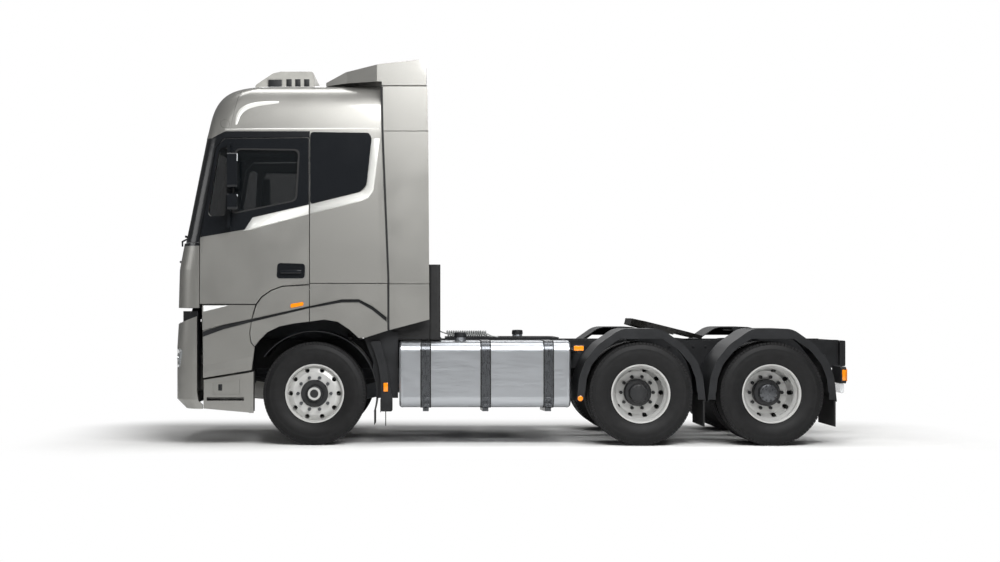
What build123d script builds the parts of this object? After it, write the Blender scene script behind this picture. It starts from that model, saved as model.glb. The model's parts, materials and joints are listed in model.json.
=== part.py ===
"""Six-by-four tractor unit: high-roof sleeper cab over a ladder frame, one steered axle, a twin-tyred
drive bogie and a tilting coupling plate for a semi-trailer.

Working axes: x runs rearwards from the front axle, y to the right-hand side, z up from the road.
At the end every piece is shifted so that the finished part is centred over its own length."""
import math
import os

from build123d import *

# Overall layout, mm
front_overhang = 1480.0
wheelbase = 3320.0          # front axle to first drive axle
bogie_spread = 1330.0       # first to second drive axle
rear_overhang = 960.0
half_width = 1245.0         # cab, mirrors excluded
side_clear = half_width + 155.0   # past the cab sides, for cuts right across the truck
length = front_overhang + wheelbase + bogie_spread + rear_overhang
axle_2_x = wheelbase
axle_3_x = wheelbase + bogie_spread
bogie_x = (axle_2_x + axle_3_x) / 2
tail_x = axle_3_x + rear_overhang
nose_x = -front_overhang
run_gap = 0.3               # running clearance at pins, spindles and hubs
seam = 8.0                  # panel gap between neighbouring body panels

# Tyres and wheels
tyre_r = 527.0
tyre_w = 300.0
rim_r = 300.0               # over the rim flanges
rim_half = 127.0
rim_wall = 12.0
front_track_half = 1020.0
twin_track_half = 920.0     # mid-plane between twin tyres
twin_half_spacing = 172.0
hub_r = 139.0
drum_r = 205.0
disc_t = 14.0
front_spindle_r = 38.0
rear_spindle_r = 60.0
axle_z = tyre_r

# Ladder frame
frame_half = 430.0          # outer faces of the rails
rail_h = 300.0
rail_flange = 80.0
rail_t = 10.0
frame_top = 1060.0
frame_bottom = frame_top - rail_h
frame_front_x = -1180.0

# Front axle and steering
kingpin_y = 860.0
kingpin_r = 22.0
eye_r = 45.0
eye_half_h = 47.0
knuckle_ear_h = 62.0
yoke_y = 912.0
yoke_t = 32.0
arm_reach = 230.0           # steering arm, kingpin to ball joint
ball_r = 24.0
tie_rod_r = 21.0

# Cab shell
wall = 60.0
glass_t = 14.0
cab_bottom = 1400.0
floor_t = 36.0
front_bow = 9000.0          # plan radius of the cab front
tilt_x = -1365.0            # cab tilt pivot
tilt_z = 1257.0
tilt_pin_r = 20.0
tilt_lug_y = 436.0
tilt_lug_t = 34.0

# Door
hinge_x = -1145.0           # door hinge line
hinge_y = half_width - 10.0
hinge_pin_r = 6.0
door_front_x = -1159.0
door_rear_x = -44.0
door_sill_z = 1438.0
door_top_z = 3133.0
belt_z = 2099.0             # lower front corner of the door window band
roof_edge_z = 3194.0        # underside of the roof panel over the doors
screen_top_z = 3127.0
screen_bottom_z = 2068.0
arch_seam_z = 1645.0        # joint between cab side and wheel arch panel

# Fifth wheel
fifth_x = axle_2_x + 340.0
fifth_pivot_z = 1130.0
fifth_tilt = 14.0           # parked with its tail down
fifth_half_w = 450.0
fifth_front = 325.0         # plate ahead of and behind its pivot
fifth_rear = 450.0
fifth_t = 36.0
fifth_top = 84.0            # plate top over the pivot axis
fifth_pin_r = 25.0
fifth_lug_r = 40.0
coupling_pin_r = 25.4       # half of the trailer's two-inch kingpin
throat_half = 190.0

# Fuel tanks
tank_front_x = 866.0
tank_length = 1744.0
tank_outer_y = 1215.0
tank_depth = 660.0          # across the truck
tank_top = 1062.0
tank_bottom = 385.0
tank_corner = 110.0
strap_w = 84.0
strap_t = 6.0
strap_x = [1135.0, 1745.0, 2385.0]


def ring(points, radius=0.0):
    """Closed outline, with its corners rounded where a radius (one, or one per corner) is given."""
    if radius == 0.0:
        return make_face(Polyline(*points, close=True))
    return make_face(FilletPolyline(*points, radius=radius, close=True))


def across(face, y_low, y_high):
    """Face drawn in x-z, extruded across the truck from y_low to y_high."""
    return extrude(Plane.XZ.offset(-y_high) * face, y_high - y_low)


def upward(face, z_low, z_high):
    """Face drawn in x-y, extruded upwards from z_low to z_high."""
    return extrude(Plane.XY.offset(z_low) * face, z_high - z_low)


def along(face, x_low, x_high):
    """Face drawn in y-z, extruded rearwards from x_low to x_high."""
    return extrude(Plane.YZ.offset(x_low) * face, x_high - x_low)


def block(x_low, x_high, y_low, y_high, z_low, z_high):
    return Pos((x_low + x_high) / 2, (y_low + y_high) / 2, (z_low + z_high) / 2) * Box(
        x_high - x_low, y_high - y_low, z_high - z_low)


def rod_x(y, z, x_low, x_high, r):
    return Pos((x_low + x_high) / 2, y, z) * Rot(0, 90, 0) * Cylinder(r, x_high - x_low)


def rod_y(x, z, y_low, y_high, r):
    return Pos(x, (y_low + y_high) / 2, z) * Rot(90, 0, 0) * Cylinder(r, y_high - y_low)


def rod_z(x, y, z_low, z_high, r):
    return Pos(x, y, (z_low + z_high) / 2) * Cylinder(r, z_high - z_low)


def turned_y(points):
    """Solid of revolution about the y axis from (radius, y) corners."""
    return revolve(make_face(Polyline(*points, close=True)), Axis.Y)


def mirrored(shape):
    """The same piece on the other side of the truck."""
    return mirror(shape, Plane.XZ)


def both(shape):
    """A left-hand piece and its right-hand twin, as two solids of one node."""
    return Compound([*shape.solids(), *mirrored(shape).solids()])


def group(*shapes):
    """Several solids that don't touch, as one node."""
    return Compound([s for shape in shapes for s in shape.solids()])


parts = {}


# Wheels

def tyre():
    """One tyre about the y axis, its mid-plane at y = 0."""
    half = tyre_w / 2
    outer = [(rim_r - 12, 0.72), (tyre_r - 127, 1.0), (tyre_r - 27, 0.94), (tyre_r, 0.76)]
    side = [(r, share * half) for r, share in outer]
    return turned_y([*side, *[(r, -y) for r, y in reversed(side)]])


def rim_barrel(mid_y):
    """Drop-centre rim without its disc."""
    seat = rim_r - 12
    well = rim_r - 38
    outside = [(rim_r, rim_half), (rim_r, rim_half - 12), (seat, rim_half - 16), (seat, 62), (well, 26),
               (well, -34), (seat, -70), (seat, 16 - rim_half), (rim_r, 12 - rim_half), (rim_r, -rim_half)]
    inside = [(r - rim_wall, y) for r, y in reversed(outside) if r != rim_r]
    inside = [(rim_r - rim_wall, -rim_half), *inside, (rim_r - rim_wall, rim_half)]
    return Pos(0, mid_y, 0) * turned_y(outside + inside)


def hand_holes(radius, y_low, y_high, count=10, hole_r=24.0):
    holes = [rod_y(0, radius, y_low, y_high, hole_r)]
    return [Rot(0, 360 / count * (i + 0.5), 0) * holes[0] for i in range(count)]


def front_wheel():
    """Rim, disc, hub and brake drum of a steered wheel, outer side towards +y, mid-plane at y = 0."""
    seat = rim_r - 12 - rim_wall / 2
    face_y = rim_half - 6
    disc = turned_y([(seat, 58), (seat, 74), (218, face_y), (80, face_y), (80, face_y - disc_t), (212, face_y - disc_t)])
    body = rim_barrel(0) + disc
    for hole in hand_holes(246, 40, face_y + 10):
        body -= hole
    hub = turned_y([(0, 175), (62, 175), (80, 160), (82, face_y + 12), (hub_r, face_y + 10), (hub_r, face_y - 40),
                    (110, 40), (drum_r, 40), (drum_r, -60), (0, -60)])
    bore = rod_y(0, 0, -61, 100, front_spindle_r + run_gap)
    return body + hub - bore


def twin_wheel():
    """Two back-to-back rims on one driven hub, outer side towards +y, mounting faces at y = 0."""
    seat = rim_r - 12 - rim_wall / 2
    mid = twin_half_spacing
    disc = turned_y([(seat, mid - 62), (seat, mid - 46), (222, disc_t), (115, disc_t), (115, 0), (216, 0)])
    body = rim_barrel(mid) + disc
    for hole in hand_holes(244, 4, mid):
        body -= hole
    hub = turned_y([(0, 168), (70, 168), (92, 150), (96, 96), (hub_r, 84), (hub_r, -18), (drum_r, -18),
                    (drum_r, -225), (0, -225)])
    bore = rod_y(0, 0, -226, 40, rear_spindle_r + run_gap)
    return body + Rot(180, 0, 0) * body + hub - bore


def add_wheels():
    for side, name in ((-1, "left"), (1, "right")):
        turn = Rot(0, 0, 0) if side > 0 else Rot(0, 0, 180)
        front = Pos(0, side * front_track_half, axle_z) * turn
        parts[f"tyre_front_{name}"] = front * tyre()
        parts[f"wheel_front_{name}"] = front * front_wheel()
        for axle, x in (("drive_1", axle_2_x), ("drive_2", axle_3_x)):
            twin = Pos(x, side * twin_track_half, axle_z) * turn
            parts[f"tyres_{axle}_{name}"] = group(*[twin * Pos(0, y, 0) * tyre()
                                                    for y in (-twin_half_spacing, twin_half_spacing)])
            parts[f"wheels_{axle}_{name}"] = twin * twin_wheel()


# Axles, springs and driveline

def add_running_gear():
    # Dropped I-beam with an eye and a kingpin at each end
    drop = 70.0
    beam_h = 96.0
    outline = [(-kingpin_y, axle_z + eye_half_h), (-kingpin_y, axle_z - eye_half_h), (-kingpin_y + 110, axle_z - eye_half_h),
               (-560, axle_z - drop - beam_h / 2), (560, axle_z - drop - beam_h / 2),
               (kingpin_y - 110, axle_z - eye_half_h), (kingpin_y, axle_z - eye_half_h), (kingpin_y, axle_z + eye_half_h),
               (kingpin_y - 110, axle_z + eye_half_h), (560, axle_z - drop + beam_h / 2),
               (-560, axle_z - drop + beam_h / 2), (-kingpin_y + 110, axle_z + eye_half_h)]
    beam = along(ring(outline), -eye_r, eye_r)
    web = 22.0
    for side in (-1, 1):
        beam -= along(ring([(-620, axle_z - drop - 30), (620, axle_z - drop - 30),
                            (620, axle_z - drop + 30), (-620, axle_z - drop + 30)]),
                      *sorted((side * web, side * (eye_r + 1))))
    pin_half = eye_half_h + knuckle_ear_h + 8
    for side in (-1, 1):
        beam += rod_z(0, side * kingpin_y, axle_z - eye_half_h, axle_z + eye_half_h, eye_r)
        beam += rod_z(0, side * kingpin_y, axle_z - pin_half, axle_z + pin_half, kingpin_r)
    parts["front_axle_beam"] = beam

    # Steering knuckles: two ears round the kingpin, a yoke, the wheel spindle and the track rod arm
    gap = 2.0
    for side, name in ((-1, "left"), (1, "right")):
        ears = [rod_z(0, side * kingpin_y, low, low + knuckle_ear_h, eye_r + 3)
                + block(-eye_r, eye_r, *sorted((side * kingpin_y, side * (yoke_y + 5))), low, low + knuckle_ear_h)
                for low in (axle_z + eye_half_h + gap, axle_z - eye_half_h - gap - knuckle_ear_h)]
        low, high = axle_z - eye_half_h - gap - knuckle_ear_h, axle_z + eye_half_h + gap + knuckle_ear_h
        yoke = block(-62, 62, *sorted((side * yoke_y, side * (yoke_y + yoke_t))), low, high)
        spindle = rod_y(0, axle_z, *sorted((side * (yoke_y + yoke_t), side * 1105)), front_spindle_r)
        arm = block(20, arm_reach, side * kingpin_y - 22, side * kingpin_y + 22, low, low + 34)
        arm += rod_z(arm_reach, side * kingpin_y, low, low + 34, 34)
        arm -= rod_z(arm_reach, side * kingpin_y, low - 1, low + 35, ball_r / 2 + run_gap)
        knuckle = ears[0] + ears[1] + yoke + spindle + arm
        knuckle -= rod_z(0, side * kingpin_y, low - 1, high + 1, kingpin_r + run_gap)
        parts[f"knuckle_{name}"] = knuckle

    # Track rod hung from the left arm's ball pin; its right-hand pin stands in that arm's eye
    low = axle_z - eye_half_h - gap - knuckle_ear_h
    rod_z_mid = low - gap - ball_r
    rod = rod_y(arm_reach, rod_z_mid, -kingpin_y, kingpin_y, tie_rod_r)
    for side in (-1, 1):
        rod += rod_z(arm_reach, side * kingpin_y, rod_z_mid - ball_r, rod_z_mid + ball_r, 33)
        rod += rod_z(arm_reach, side * kingpin_y, rod_z_mid, low + 34, ball_r / 2)
    parts["track_rod"] = rod

    # Leaf springs: a curved pack under each rail at the front, an inverted pack each side of the bogie
    front_pack = spring_pack(0, axle_z - drop + beam_h / 2, 690, 92, 34, 120)
    bogie_pack = spring_pack(bogie_x, axle_z + 92, bogie_spread / 2 + 60, 110, 40, 0)
    front_leaf = across(front_pack, -frame_half - 6, -frame_half + 84)
    bogie_leaf = across(bogie_pack, -560, -460)
    saddle = across(ring([(bogie_x - 150, 470), (bogie_x + 150, 470), (bogie_x + 110, axle_z + 92),
                          (bogie_x - 110, axle_z + 92)], 25), -560, -460)
    parts["leaf_springs"] = both(group(front_leaf, bogie_leaf + saddle))

    # Drive axles: tube, banjo with its nose, spindle ends
    axles = []
    for x in (axle_2_x, axle_3_x):
        tube = block(x - 72, x + 72, -690, 690, axle_z - 75, axle_z + 75)
        tube = fillet(tube.edges().filter_by(Axis.Y), 22)
        tube += rod_x(0, axle_z, x - 150, x + 130, 215)
        tube += Pos(x - 235, 0, axle_z) * Rot(0, 90, 0) * Cone(90, 190, 170)
        tube += rod_x(0, axle_z + 60, x - 340, x - 200, 85)
        for side in (-1, 1):
            tube += rod_y(x, axle_z, *sorted((side * 680, side * 955)), rear_spindle_r)
            tube += block(x - 60, x + 60, *sorted((side * 460, side * 560)), axle_z + 60, axle_z + 92)
        axles.append(tube)
    axles[0] += rod_x(0, axle_z + 60, axle_2_x + 100, axle_2_x + 250, 80)
    parts["drive_axles"] = group(*axles)

    # Propeller shafts between gearbox, through-drive and second axle
    shafts = []
    for x_low, z_low, x_high, z_high in ((1660, axle_z + 60, axle_2_x - 340, axle_z + 60),
                                         (axle_2_x + 250, axle_z + 60, axle_3_x - 340, axle_z + 60)):
        run = Edge.make_line((x_low, 0, z_low), (x_high, 0, z_high))
        plane = Plane(origin=(x_low, 0, z_low), z_dir=run % 0)
        shafts.append(extrude(plane * Circle(58), run.length))
    parts["propeller_shafts"] = group(*shafts)

    # Engine with gearbox, one plain mass
    engine = block(-930, 420, -335, 335, 640, 1370)
    engine = fillet(engine.edges().filter_by(Axis.X), 60)
    for x in (-600, 250):
        engine += block(x - 60, x + 60, rail_t - frame_half, frame_half - rail_t, 850, 950)
    gearbox = Pos(720, 0, 720) * Rot(0, 90, 0) * Cone(330, 210, 600)
    parts["engine"] = engine + gearbox + rod_x(0, axle_z + 60, 1000, 1660, 110)


def spring_pack(x, z, half_length, thick, tip, camber):
    """Outline of a leaf pack in x-z: flat clamp in the middle, thinning towards raised tips."""
    top = [(x - half_length, z + camber + tip), (x - 90, z + thick), (x + 90, z + thick),
           (x + half_length, z + camber + tip)]
    bottom = [(x + half_length, z + camber), (x + 90, z), (x - 90, z), (x - half_length, z + camber)]
    return ring(top + bottom)


# Ladder frame and what is bolted to it

def add_frame():
    channel = [(-frame_half, frame_bottom), (rail_flange - frame_half, frame_bottom),
               (rail_flange - frame_half, frame_bottom + rail_t), (rail_t - frame_half, frame_bottom + rail_t),
               (rail_t - frame_half, frame_top - rail_t), (rail_flange - frame_half, frame_top - rail_t),
               (rail_flange - frame_half, frame_top), (-frame_half, frame_top)]
    rail = along(ring(channel), frame_front_x, tail_x - 60)
    hangers = [block(x, x + 60, -frame_half - 6, 84 - frame_half, 600, frame_bottom) for x in (-750, 690)]
    parts["frame_rails"] = both(group(rail + hangers[0] + hangers[1]))

    # Cross-members between the webs, the bogie trunnion with its brackets, the tail beam
    web = frame_half - rail_t
    crossbars = []
    for x, half_h in ((-1130, 110), (1120, 60), (2750, 110), (4700, 110)):
        crossbars.append(block(x - 45, x + 45, -web, web, 910 - half_h, 910 + half_h))
    trunnion = rod_y(bogie_x, 540, -460, -360, 62)
    trunnion += across(ring([(bogie_x - 90, 480), (bogie_x + 90, 480), (bogie_x + 160, frame_bottom),
                             (bogie_x - 160, frame_bottom)], [20, 20, 0, 0]), -425, -360)
    tail = block(tail_x - 60, tail_x, -frame_half - 60, frame_half + 60, frame_bottom + 20, frame_top - 6)
    tail = fillet(tail.edges().filter_by(Axis.Y), 14)
    # Brackets that carry the cab tilt pins ahead of the rails, and the rear cab rests
    arm = ring([(frame_front_x, 790), (frame_front_x, 1050), (tilt_x + 60, tilt_z + 40), (tilt_x - 36, tilt_z + 40),
                (tilt_x - 36, tilt_z - 60)], [0, 0, 25, 30, 25])
    pivots = []
    rests = []
    for side in (-1, 1):
        plate = across(arm, *sorted((side * (frame_half - 34), side * frame_half)))
        pin = rod_y(tilt_x, tilt_z, *sorted((side * frame_half, side * (tilt_lug_y + tilt_lug_t + 5))), tilt_pin_r)
        pivots.append(plate + pin)
        rest = block(630, 700, *sorted((side * (frame_half - 70), side * frame_half)), frame_top, cab_bottom - 6)
        rests.append(rest)
    parts["crossmembers"] = group(*crossbars, both(trunnion), tail, *pivots, *rests)


def add_tanks():
    # Rounded aluminium box tanks: a long one on the left, a short one on the right beside the silencer
    def body(x_low, x_high):
        section = ring([(-tank_outer_y, tank_bottom), (tank_depth - tank_outer_y, tank_bottom),
                        (tank_depth - tank_outer_y, tank_top), (-tank_outer_y, tank_top)], tank_corner)
        tank = along(section, x_low, x_high)
        return chamfer(tank.faces().sort_by(Axis.X)[0].edges() + tank.faces().sort_by(Axis.X)[-1].edges(), 16)

    def carrier(x):
        outer = ring([(-tank_outer_y - strap_t, tank_bottom - strap_t), (tank_depth - tank_outer_y + strap_t, tank_bottom - strap_t),
                      (tank_depth - tank_outer_y + strap_t, tank_top + strap_t), (-tank_outer_y - strap_t, tank_top + strap_t)],
                     tank_corner + strap_t)
        inner = ring([(-tank_outer_y, tank_bottom), (tank_depth - tank_outer_y, tank_bottom),
                      (tank_depth - tank_outer_y, tank_top), (-tank_outer_y, tank_top)], tank_corner)
        strap = along(outer, x - strap_w / 2, x + strap_w / 2) - along(inner, x - strap_w, x + strap_w)
        foot = ring([(-frame_half, 1000), (-frame_half, tank_bottom - 70), (80 - tank_outer_y, tank_bottom - 40),
                     (80 - tank_outer_y, tank_bottom - strap_t), (tank_depth - tank_outer_y + strap_t, tank_bottom - strap_t),
                     (tank_depth - tank_outer_y + strap_t, 1000)])
        return strap + along(foot, x - 30, x + 30) - along(inner, x - 31, x + 31)

    left = body(tank_front_x, tank_front_x + tank_length)
    neck = rod_z(1490, -1000, tank_top - 20, tank_top + 58, 58)
    right = mirrored(body(1790, tank_front_x + tank_length))
    right += rod_z(2200, 1000, tank_top - 20, tank_top + 58, 58)
    parts["fuel_tanks"] = group(left + neck, right)
    parts["tank_carriers"] = group(*[carrier(x) for x in strap_x], *[mirrored(carrier(x)) for x in (1960, 2440)])

    # Silencer and exhaust treatment box, right-hand side
    box = block(880, 1700, 470, 1205, 400, 1050)
    box = fillet(box.edges().filter_by(Axis.X), 45)
    for x in (1010, 1570):
        box += block(x - 40, x + 40, frame_half, 520, 620, 1000)
    parts["silencer_box"] = box

    # Air intake stack on its shelf behind the cab, and the walkway over the rails
    shelf = block(1195, 1295, -1110, 60 - frame_half, tank_top + 14, tank_top + 30)
    shelf += block(1195, 1295, -frame_half, 60 - frame_half, frame_top, tank_top + 20)
    stack = block(1165, 1285, -1110, -820, tank_top + 20, 1845)
    stack = fillet(stack.edges().filter_by(Axis.Z), 30)
    filter_box = across(ring([(790, tank_top + 20), (1200, tank_top + 20), (1200, 1320), (830, 1320), (790, 1280)], 24),
                        -1100, -620)
    parts["air_intake"] = shelf + stack + filter_box
    walk = block(1345, 2560, 20 - frame_half, frame_half - 20, frame_top, frame_top + 28)
    for y in (-260, 0, 260):
        walk -= block(1400, 2505, y - 95, y + 95, frame_top + 14, frame_top + 29)
    parts["walkway"] = walk


def bow_section(z, front_x, half_w, corner_r, rear_x, inset=0.0):
    """Plan outline of the cab or bumper at one height: bowed front, round corners, straight sides, flat back."""
    front_x, half_w, rear_x = front_x + inset, half_w - inset, rear_x - inset
    corner_r = max(corner_r - inset, 20.0)
    bow = front_bow - inset
    spread = half_w - corner_r
    centre_x = front_x + bow
    corner_x = centre_x - math.sqrt((bow - corner_r) ** 2 - spread ** 2)
    touch_x = centre_x - (centre_x - corner_x) * bow / (bow - corner_r)
    touch_y = spread * bow / (bow - corner_r)
    swing = math.atan2(centre_x - corner_x, spread)
    mid_angle = swing / 2
    mid = (corner_x - corner_r * math.sin(mid_angle), spread + corner_r * math.cos(mid_angle))
    edges = [Edge.make_line((rear_x, -half_w, z), (corner_x, -half_w, z)),
             Edge.make_three_point_arc((corner_x, -half_w, z), (mid[0], -mid[1], z), (touch_x, -touch_y, z)),
             Edge.make_three_point_arc((touch_x, -touch_y, z), (front_x, 0, z), (touch_x, touch_y, z)),
             Edge.make_three_point_arc((touch_x, touch_y, z), (mid[0], mid[1], z), (corner_x, half_w, z)),
             Edge.make_line((corner_x, half_w, z), (rear_x, half_w, z)),
             Edge.make_line((rear_x, half_w, z), (rear_x, -half_w, z))]
    return Wire(edges)


def lofted(sections, ruled=True):
    """Solid through plan outlines at rising heights."""
    return loft([Face(section) for section in sections], ruled=ruled)


def add_bumper():
    # Columns: height, front x, half width, corner radius, rear x
    back_x = -1188.0
    bumper_half = half_width - 5.0
    table = [(375, nose_x + 96, bumper_half - 15, 200, -900), (470, nose_x, bumper_half - 2, 230, -900),
             (1000, nose_x, bumper_half, 230, -900), (1330, nose_x + 20, bumper_half, 230, -900)]
    top_z = 1236.0
    skin = 40.0
    # The ends stop short of the cab's step panel and sweep back below it
    behind = across(ring([(back_x, 1500), (back_x, 540), (-1172, 455), (-1131, 415), (-1131, 300), (-600, 300),
                          (-600, 1500)]), -side_clear, side_clear)
    # The top edge is level across the front and rises along the sides
    above = across(ring([(-1700, top_z), (-1400, top_z), (-1180, 1318), (-1180, 1500), (-1700, 1500)]), -side_clear, side_clear)
    outer = lofted([bow_section(*row) for row in table])
    inner = lofted([bow_section(z, x, w, r, rear + 80, skin) for z, x, w, r, rear in table])
    shell = outer - inner - behind - above
    lamp_in, lamp_out = bumper_half - 470, bumper_half - 50
    lamp_hole = along(ring([(lamp_in, 790), (lamp_out - 40, 790), (lamp_out, 985), (lamp_in, 960)], 30), -1700, -1200)
    lens = shell & lamp_hole
    # Filler set back above the bumper: a foot on its top edge and an upright, notched for the cab tilt lugs
    def band(z_low, z_high, set_back, depth):
        edge = (z_low, nose_x + set_back, bumper_half - set_back, 240 - set_back)
        plan = bow_section(*edge, -900)
        core = bow_section(*edge, -850, depth)
        return extrude(Face(plan) - Face(core), z_high - z_low, dir=(0, 0, 1)) - behind

    foot = top_z
    sill = band(foot, foot + 12, 24, 50) - block(-1404, -1100, -side_clear, side_clear, foot - 1, 1400)
    filler = sill + band(foot + 12, 1368, 60, 14)
    filler -= block(-1436, -1200, 12 - tilt_lug_y, tilt_lug_y - 12, foot + 12, 1400)
    filler += block(-1452, -1437, 12 - tilt_lug_y, tilt_lug_y - 12, foot, 1350)
    for side in (-1, 1):
        notch = sorted((side * (frame_half - 46), side * (tilt_lug_y + tilt_lug_t + 12)))
        filler -= block(-1436, -1200, *notch, foot - 1, 1400)
    # Stays from the frame to the bumper's back
    beam = shell - lamp_hole - mirrored(lamp_hole)
    for side in (-1, 1):
        beam += block(-1450, frame_front_x, *sorted((side * 360, side * 396)), 800, 880)
    # End walls behind the lamps, seen in the gap beside the step panel
    closing = inner & block(-1206, back_x, bumper_half - 260, side_clear, 560, 1290)
    parts["bumper"] = beam
    parts["bumper_filler"] = group(filler, *both(closing))
    parts["headlamps"] = both(lens)


def add_steps():
    # Access step housing behind the bumper on each side, on a bracket from the rail
    side = ring([(-1123, 672), (-1123, 378), (-640, 335), (-640, 748)])
    step_y = 23.0 - half_width
    box = across(side, step_y, step_y + 322)
    box = fillet(box.edges().filter_by(GeomType.LINE).filter_by(Axis.X, reverse=True).group_by(Axis.Y)[0], 8)
    box -= block(-1090, -712, step_y - 8, step_y + 142, 458, 494)
    lid = [(-1026, 520), (-750, 520), (-750, 676), (-1026, 640)]
    box -= across(ring(lid) - offset(ring(lid), -7, kind=Kind.INTERSECTION), step_y - 8, step_y + 6)
    # Outer flange carried back to the wheel arch, with a rubber edge below it
    flange = across(ring([(-660, 333), (-616, 333), (-616, 752), (-660, 744)]), step_y, step_y + 26)
    stay = block(-1010, -900, step_y + 312, -frame_half, 560, 640)
    parts["step_boxes"] = both(box + flange + stay + block(-1010, -900, -frame_half - 40, -frame_half, 560, 900))


def add_mudguards():
    # Front guards: an arc behind and over the wheel, with a flat flange beside it at the rear
    guard_r = 632.0
    guard_t = 8.0
    low_z = 345.0
    tyre_y = -front_track_half - tyre_w / 2      # outer face of the front tyre
    ring_face = make_face(Wire.make_circle(guard_r + guard_t)) - make_face(Wire.make_circle(guard_r))
    arc = across(Pos(0, axle_z) * ring_face, tyre_y - 2, tyre_y + 470)
    arc -= block(-800, 800, tyre_y - 130, tyre_y + 570, -200, low_z)
    arc -= block(-800, 0, tyre_y - 130, tyre_y + 570, 0, 900)
    flange = ring([(676, low_z), (796, low_z), (796, 470), (756, 663), (735, 830), (672, 1060), (560, 1060), (600, 990),
                   (652, 821), (676, 663)], 20)
    flange_plate = across(flange, tyre_y - 10, tyre_y + 50)
    shield = across(ring([(560, 480), (852, 480), (852, 1150), (600, 1190), (480, 1150), (600, 850)]),
                    tyre_y + 44, tyre_y + 52)
    flange_plate += shield - rod_y(0, axle_z, tyre_y - 11, tyre_y + 70, guard_r)
    stay = rod_y(330, 1078, tyre_y + 170, -frame_half, 16)
    stay += block(300, 360, -frame_half - 30, -frame_half, 980, 1130)
    front = arc + flange_plate + stay

    # Bogie guards: a flat crown, two slopes and two tails over each twin wheel
    half = [(655, 450), (628, 700), (566, 868), (432, 1030), (205, 1189)]
    outline = [(-x, z) for x, z in half] + half[::-1]
    round_r = [1, 320, 320, 320, 220]
    sheet = 8.0
    twin_y = -twin_track_half - twin_half_spacing - tyre_w / 2 - 3      # outer face, just past the outer tyre
    twin_in = -twin_track_half + twin_half_spacing + tyre_w / 2         # inner face of the inner tyre
    lip = 76.0
    lip_z = 1086.0              # lowest edge of the lip over the tyre
    guards = []
    for x in (axle_2_x, axle_3_x):
        band = ring([(x + px, pz) for px, pz in outline], round_r + round_r[::-1])
        inner = offset(band, -sheet, kind=Kind.INTERSECTION)
        inner_lip = offset(band, -lip, kind=Kind.INTERSECTION)
        guard = across(band, twin_y, twin_in - 7) - across(inner, twin_y + sheet, twin_in - 2)
        guard -= across(inner_lip, twin_y - 1, twin_y + sheet + 1) & block(
            x - 700, x + 700, twin_y - 2, twin_y + sheet + 2, 400, lip_z)
        guard -= block(x - 647, x + 647, twin_y - 1, twin_in - 2, 440, 470)
        guard -= block(x - 575, x + 575, twin_y - 1, twin_y + sheet, 440, 540)
        stay = rod_y(x, 1189 - sheet - 18, twin_y + 55, -frame_half - 15, 22)
        stay += block(x - 40, x + 40, -frame_half - 30, -frame_half, 960, 1185)
        guards.append(guard + stay)
    parts["mudguards"] = both(group(front, *guards))

    flaps = []
    for x in (axle_2_x, axle_3_x):
        flap = ring([(x + 635, 195), (x + 646.9, 195), (x + 646.9, 450), (x + 641.5, 500), (x + 630, 500)])
        flaps.append(across(flap, twin_y + 15, twin_in - 17))
    flaps.append(block(722, 730, tyre_y - 2, tyre_y + 48, 200, low_z)
                 + block(606, 613, tyre_y + 60, tyre_y + 450, 205, low_z))
    parts["mud_flaps"] = both(group(*flaps))


def add_lamps():
    # Tail lamp boards on arms from the rail, and side markers on the long tank's rear bracket
    arm = block(axle_3_x + 720, axle_3_x + 760, -900, -frame_half, 690, 750)
    arm += block(axle_3_x + 720, axle_3_x + 760, -frame_half - 30, -frame_half, 690, 900)
    board = block(axle_3_x + 712, axle_3_x + 768, -1180, -860, 630, 800)
    parts["tail_lamps"] = both(arm + fillet(board.edges().filter_by(Axis.X), 20))


def add_fifth_wheel():
    # Base: plate across the rails with two pedestals, each with a pivot pin pointing outwards
    base_t = 15.0
    base = block(fifth_x - 240, fifth_x + 240, -frame_half, frame_half, frame_top, frame_top + base_t)
    for side in (-1, 1):
        y_in, y_out = sorted((side * 250, side * 322))
        pedestal = across(ring([(fifth_x - 150, frame_top + base_t), (fifth_x + 150, frame_top + base_t),
                                (fifth_x + 42, fifth_pivot_z), (fifth_x - 42, fifth_pivot_z)]), y_in, y_out)
        base += pedestal + rod_y(fifth_x, fifth_pivot_z, y_in, y_out, 42)
        base += rod_y(fifth_x, fifth_pivot_z, *sorted((side * 300, side * 398)), fifth_pin_r)
    parts["fifth_wheel_base"] = base

    # Plate: drawn level about its pivot, then laid back on its tilt
    half_w, front, rear = fifth_half_w, -fifth_front, fifth_rear
    outline = [(front, -half_w + 190), (front + 130, -half_w), (rear - 200, -half_w), (rear, -half_w + 130),
               (rear, -throat_half), (130, -coupling_pin_r), (130, coupling_pin_r), (rear, throat_half),
               (rear, half_w - 130), (rear - 200, half_w), (front + 130, half_w), (front, half_w - 190)]
    plate = upward(ring(outline), fifth_top - fifth_t, fifth_top)
    plate -= block(0, 140, -coupling_pin_r, coupling_pin_r, 0, 200)
    plate -= rod_z(0, 0, 0, 200, coupling_pin_r)
    under = fifth_top - fifth_t
    # Skirt round the front and the sides
    rim = ring(outline)
    skirt = upward(rim - offset(rim, -16, kind=Kind.INTERSECTION), under - 34, under + 1)
    plate += skirt & block(front - 1, 120, -half_w - 1, half_w + 1, 0, under + 1) - block(
        -60, 200, -300, 300, 0, under + 1)
    for side in (-1, 1):
        y_in, y_out = sorted((side * 330, side * 396))
        lug = rod_y(0, 0, y_in, y_out, fifth_lug_r) + block(-fifth_lug_r, fifth_lug_r, y_in, y_out, 0, under + 5)
        plate += lug - rod_y(0, 0, y_in - 1, y_out + 1, fifth_pin_r + run_gap)
    parts["fifth_wheel_plate"] = Pos(fifth_x, 0, fifth_pivot_z) * Rot(0, fifth_tilt, 0) * plate


# Cab

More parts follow.
